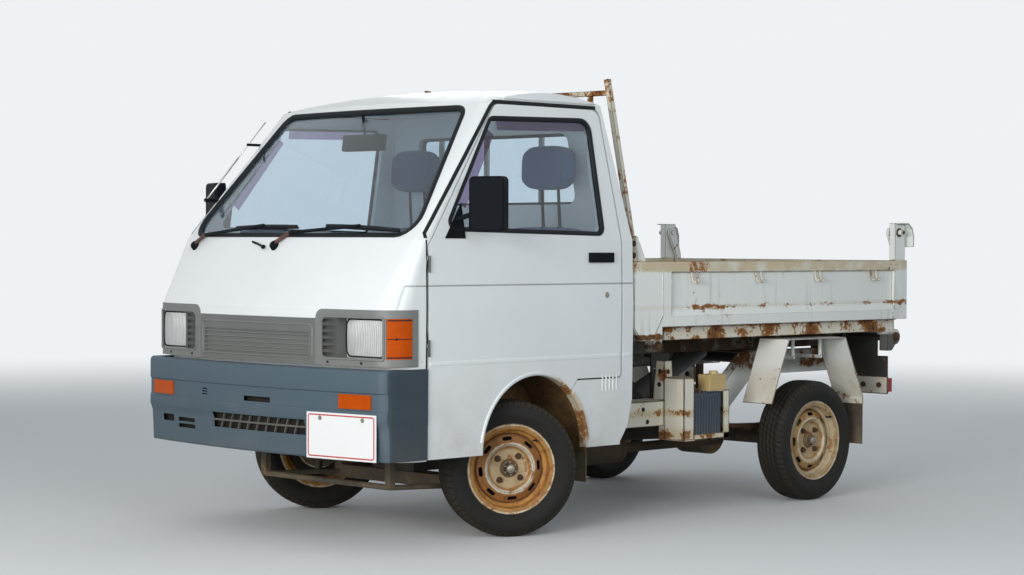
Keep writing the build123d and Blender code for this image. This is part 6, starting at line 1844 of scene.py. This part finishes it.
def floor_material():
    """Pale floor that melts into the surroundings far away."""
    material, tree, shader, spot = new_material("studio_floor")
    cloud = noise(tree, spot, 60.0, 4.0, 0.6)
    seen = seen_rays(tree)
    light, dull = rgba((0.86, 0.87, 0.87)), rgba((0.83, 0.84, 0.84))
    pale = blend(tree, ramp(tree, cloud, 0.3, 0.7, 0.0, 0.3), light, dull)
    base = blend(tree, seen, rgba((0.30, 0.30, 0.29)), pale)
    feed(shader, "Base Color", base)
    shader.inputs["Roughness"].default_value = 0.9
    far = add(tree, "VectorMath", {0: spot}, operation="LENGTH").outputs["Value"]
    share = ramp(tree, far, *FLOOR_FADE)
    glow = add(tree, "Emission", {"Color": (*BACKDROP, 1.0), "Strength": 1.0})
    share = times(tree, share, seen)
    mixed = add(tree, "MixShader", {0: share, 1: shader.outputs[0], 2: glow.outputs[0]})
    out = next(node for node in tree.nodes if node.type == "OUTPUT_MATERIAL")
    tree.links.new(mixed.outputs[0], out.inputs[0])
    return material


class TRUCK_OT_stage(bpy.types.Operator):
    """Pale floor, pale surroundings, soft lamps and the camera"""
    bl_idname = "truck.stage"
    bl_label = "Stage"

    def execute(self, context):
        bm = begin()
        bmesh.ops.create_circle(
            bm, cap_ends=True, segments=96, radius=FLOOR_RADIUS, matrix=Matrix.Identity(4))
        mesh = bpy.data.meshes.new("floor")
        bm.to_mesh(mesh)
        bm.free()
        floor = bpy.data.objects.new("floor", mesh)
        context.scene.collection.objects.link(floor)
        mesh.materials.append(floor_material())
        world = bpy.data.worlds.new("studio")
        context.scene.world = world
        world.use_nodes = True
        tree = world.node_tree
        tree.nodes.clear()
        seen = seen_rays(tree)
        light = add(tree, "Background", {"Color": (0.82, 0.91, 1.0, 1.0), "Strength": 0.33})
        shown = add(tree, "Background", {"Color": (*BACKDROP, 1.0), "Strength": 1.0})
        mixed = add(tree, "MixShader", {0: seen, 1: light.outputs[0], 2: shown.outputs[0]})
        out = tree.nodes.new("ShaderNodeOutputWorld")
        tree.links.new(mixed.outputs[0], out.inputs[0])
        power = context.scene.truck_sizes.studio_light
        for name, spot, target, size, share, tint in LAMPS:
            lamp = bpy.data.lights.new(name, "AREA")
            lamp.shape = "RECTANGLE"
            lamp.size, lamp.size_y = size
            lamp.energy = power * share
            lamp.color = tint
            holder = bpy.data.objects.new(name, lamp)
            context.scene.collection.objects.link(holder)
            way = Vector(target) - Vector(spot)
            holder.matrix_world = Matrix.Translation(spot) @ way.to_track_quat("-Z", "Y").to_matrix().to_4x4()
        camera = bpy.data.cameras.new("camera")
        camera.sensor_width = 36.0
        camera.lens = CAMERA_LENS
        camera.shift_y = CAMERA_SHIFT
        camera.clip_end = 200.0
        holder = bpy.data.objects.new("camera", camera)
        context.scene.collection.objects.link(holder)
        yaw, pitch, roll = CAMERA_TURN
        ahead = Vector((-math.sin(yaw) * math.cos(pitch), math.cos(yaw) * math.cos(pitch), math.sin(pitch)))
        level = Vector((math.cos(yaw), math.sin(yaw), 0.0))
        above = level.cross(ahead)
        right = level * math.cos(roll) + above * math.sin(roll)
        up = above * math.cos(roll) - level * math.sin(roll)
        axes = Matrix((right, up, -ahead)).transposed().to_4x4()
        holder.matrix_world = Matrix.Translation(CAMERA_PLACE) @ axes
        context.scene.camera = holder
        context.scene.view_settings.view_transform = "Standard"
        return {"FINISHED"}


MAKERS = (
    TRUCK_OT_finishes, TRUCK_OT_seals, TRUCK_OT_wipers, TRUCK_OT_aerial, TRUCK_OT_lamps, TRUCK_OT_bumper,
    TRUCK_OT_number_plate, TRUCK_OT_tyres, TRUCK_OT_wheel_parts, TRUCK_OT_seats, TRUCK_OT_mirrors,
    TRUCK_OT_cab_details, TRUCK_OT_bed_details, TRUCK_OT_chassis_details, TRUCK_OT_stage,
)


class TRUCK_PT_dressing(bpy.types.Panel):
    """Lists the makers and their values"""
    bl_idname = "TRUCK_PT_dressing"
    bl_label = "Dump Truck"
    bl_space_type = "VIEW_3D"
    bl_region_type = "UI"
    bl_category = "Dump Truck"

    def draw(self, context):
        for maker in MAKERS:
            self.layout.operator(maker.bl_idname)
        for store in (context.scene.truck_sizes, context.scene.truck_colours):
            for key in store.__annotations__:
                self.layout.prop(store, key)


def register():
    """Adds the classes and the stored values."""
    for each in (TruckSizes, TruckColours, *MAKERS, TRUCK_PT_dressing):
        bpy.utils.register_class(each)
    bpy.types.Scene.truck_sizes = bpy.props.PointerProperty(type=TruckSizes)
    bpy.types.Scene.truck_colours = bpy.props.PointerProperty(type=TruckColours)


def unregister():
    """Removes the classes and the stored values."""
    del bpy.types.Scene.truck_sizes
    del bpy.types.Scene.truck_colours
    for each in reversed((TruckSizes, TruckColours, *MAKERS, TRUCK_PT_dressing)):
        bpy.utils.unregister_class(each)


def main():
    """Makes every piece in order."""
    register()
    for maker in MAKERS:
        family, name = maker.bl_idname.split(".")
        getattr(getattr(bpy.ops, family), name)()


if __name__ == "__main__":
    main()
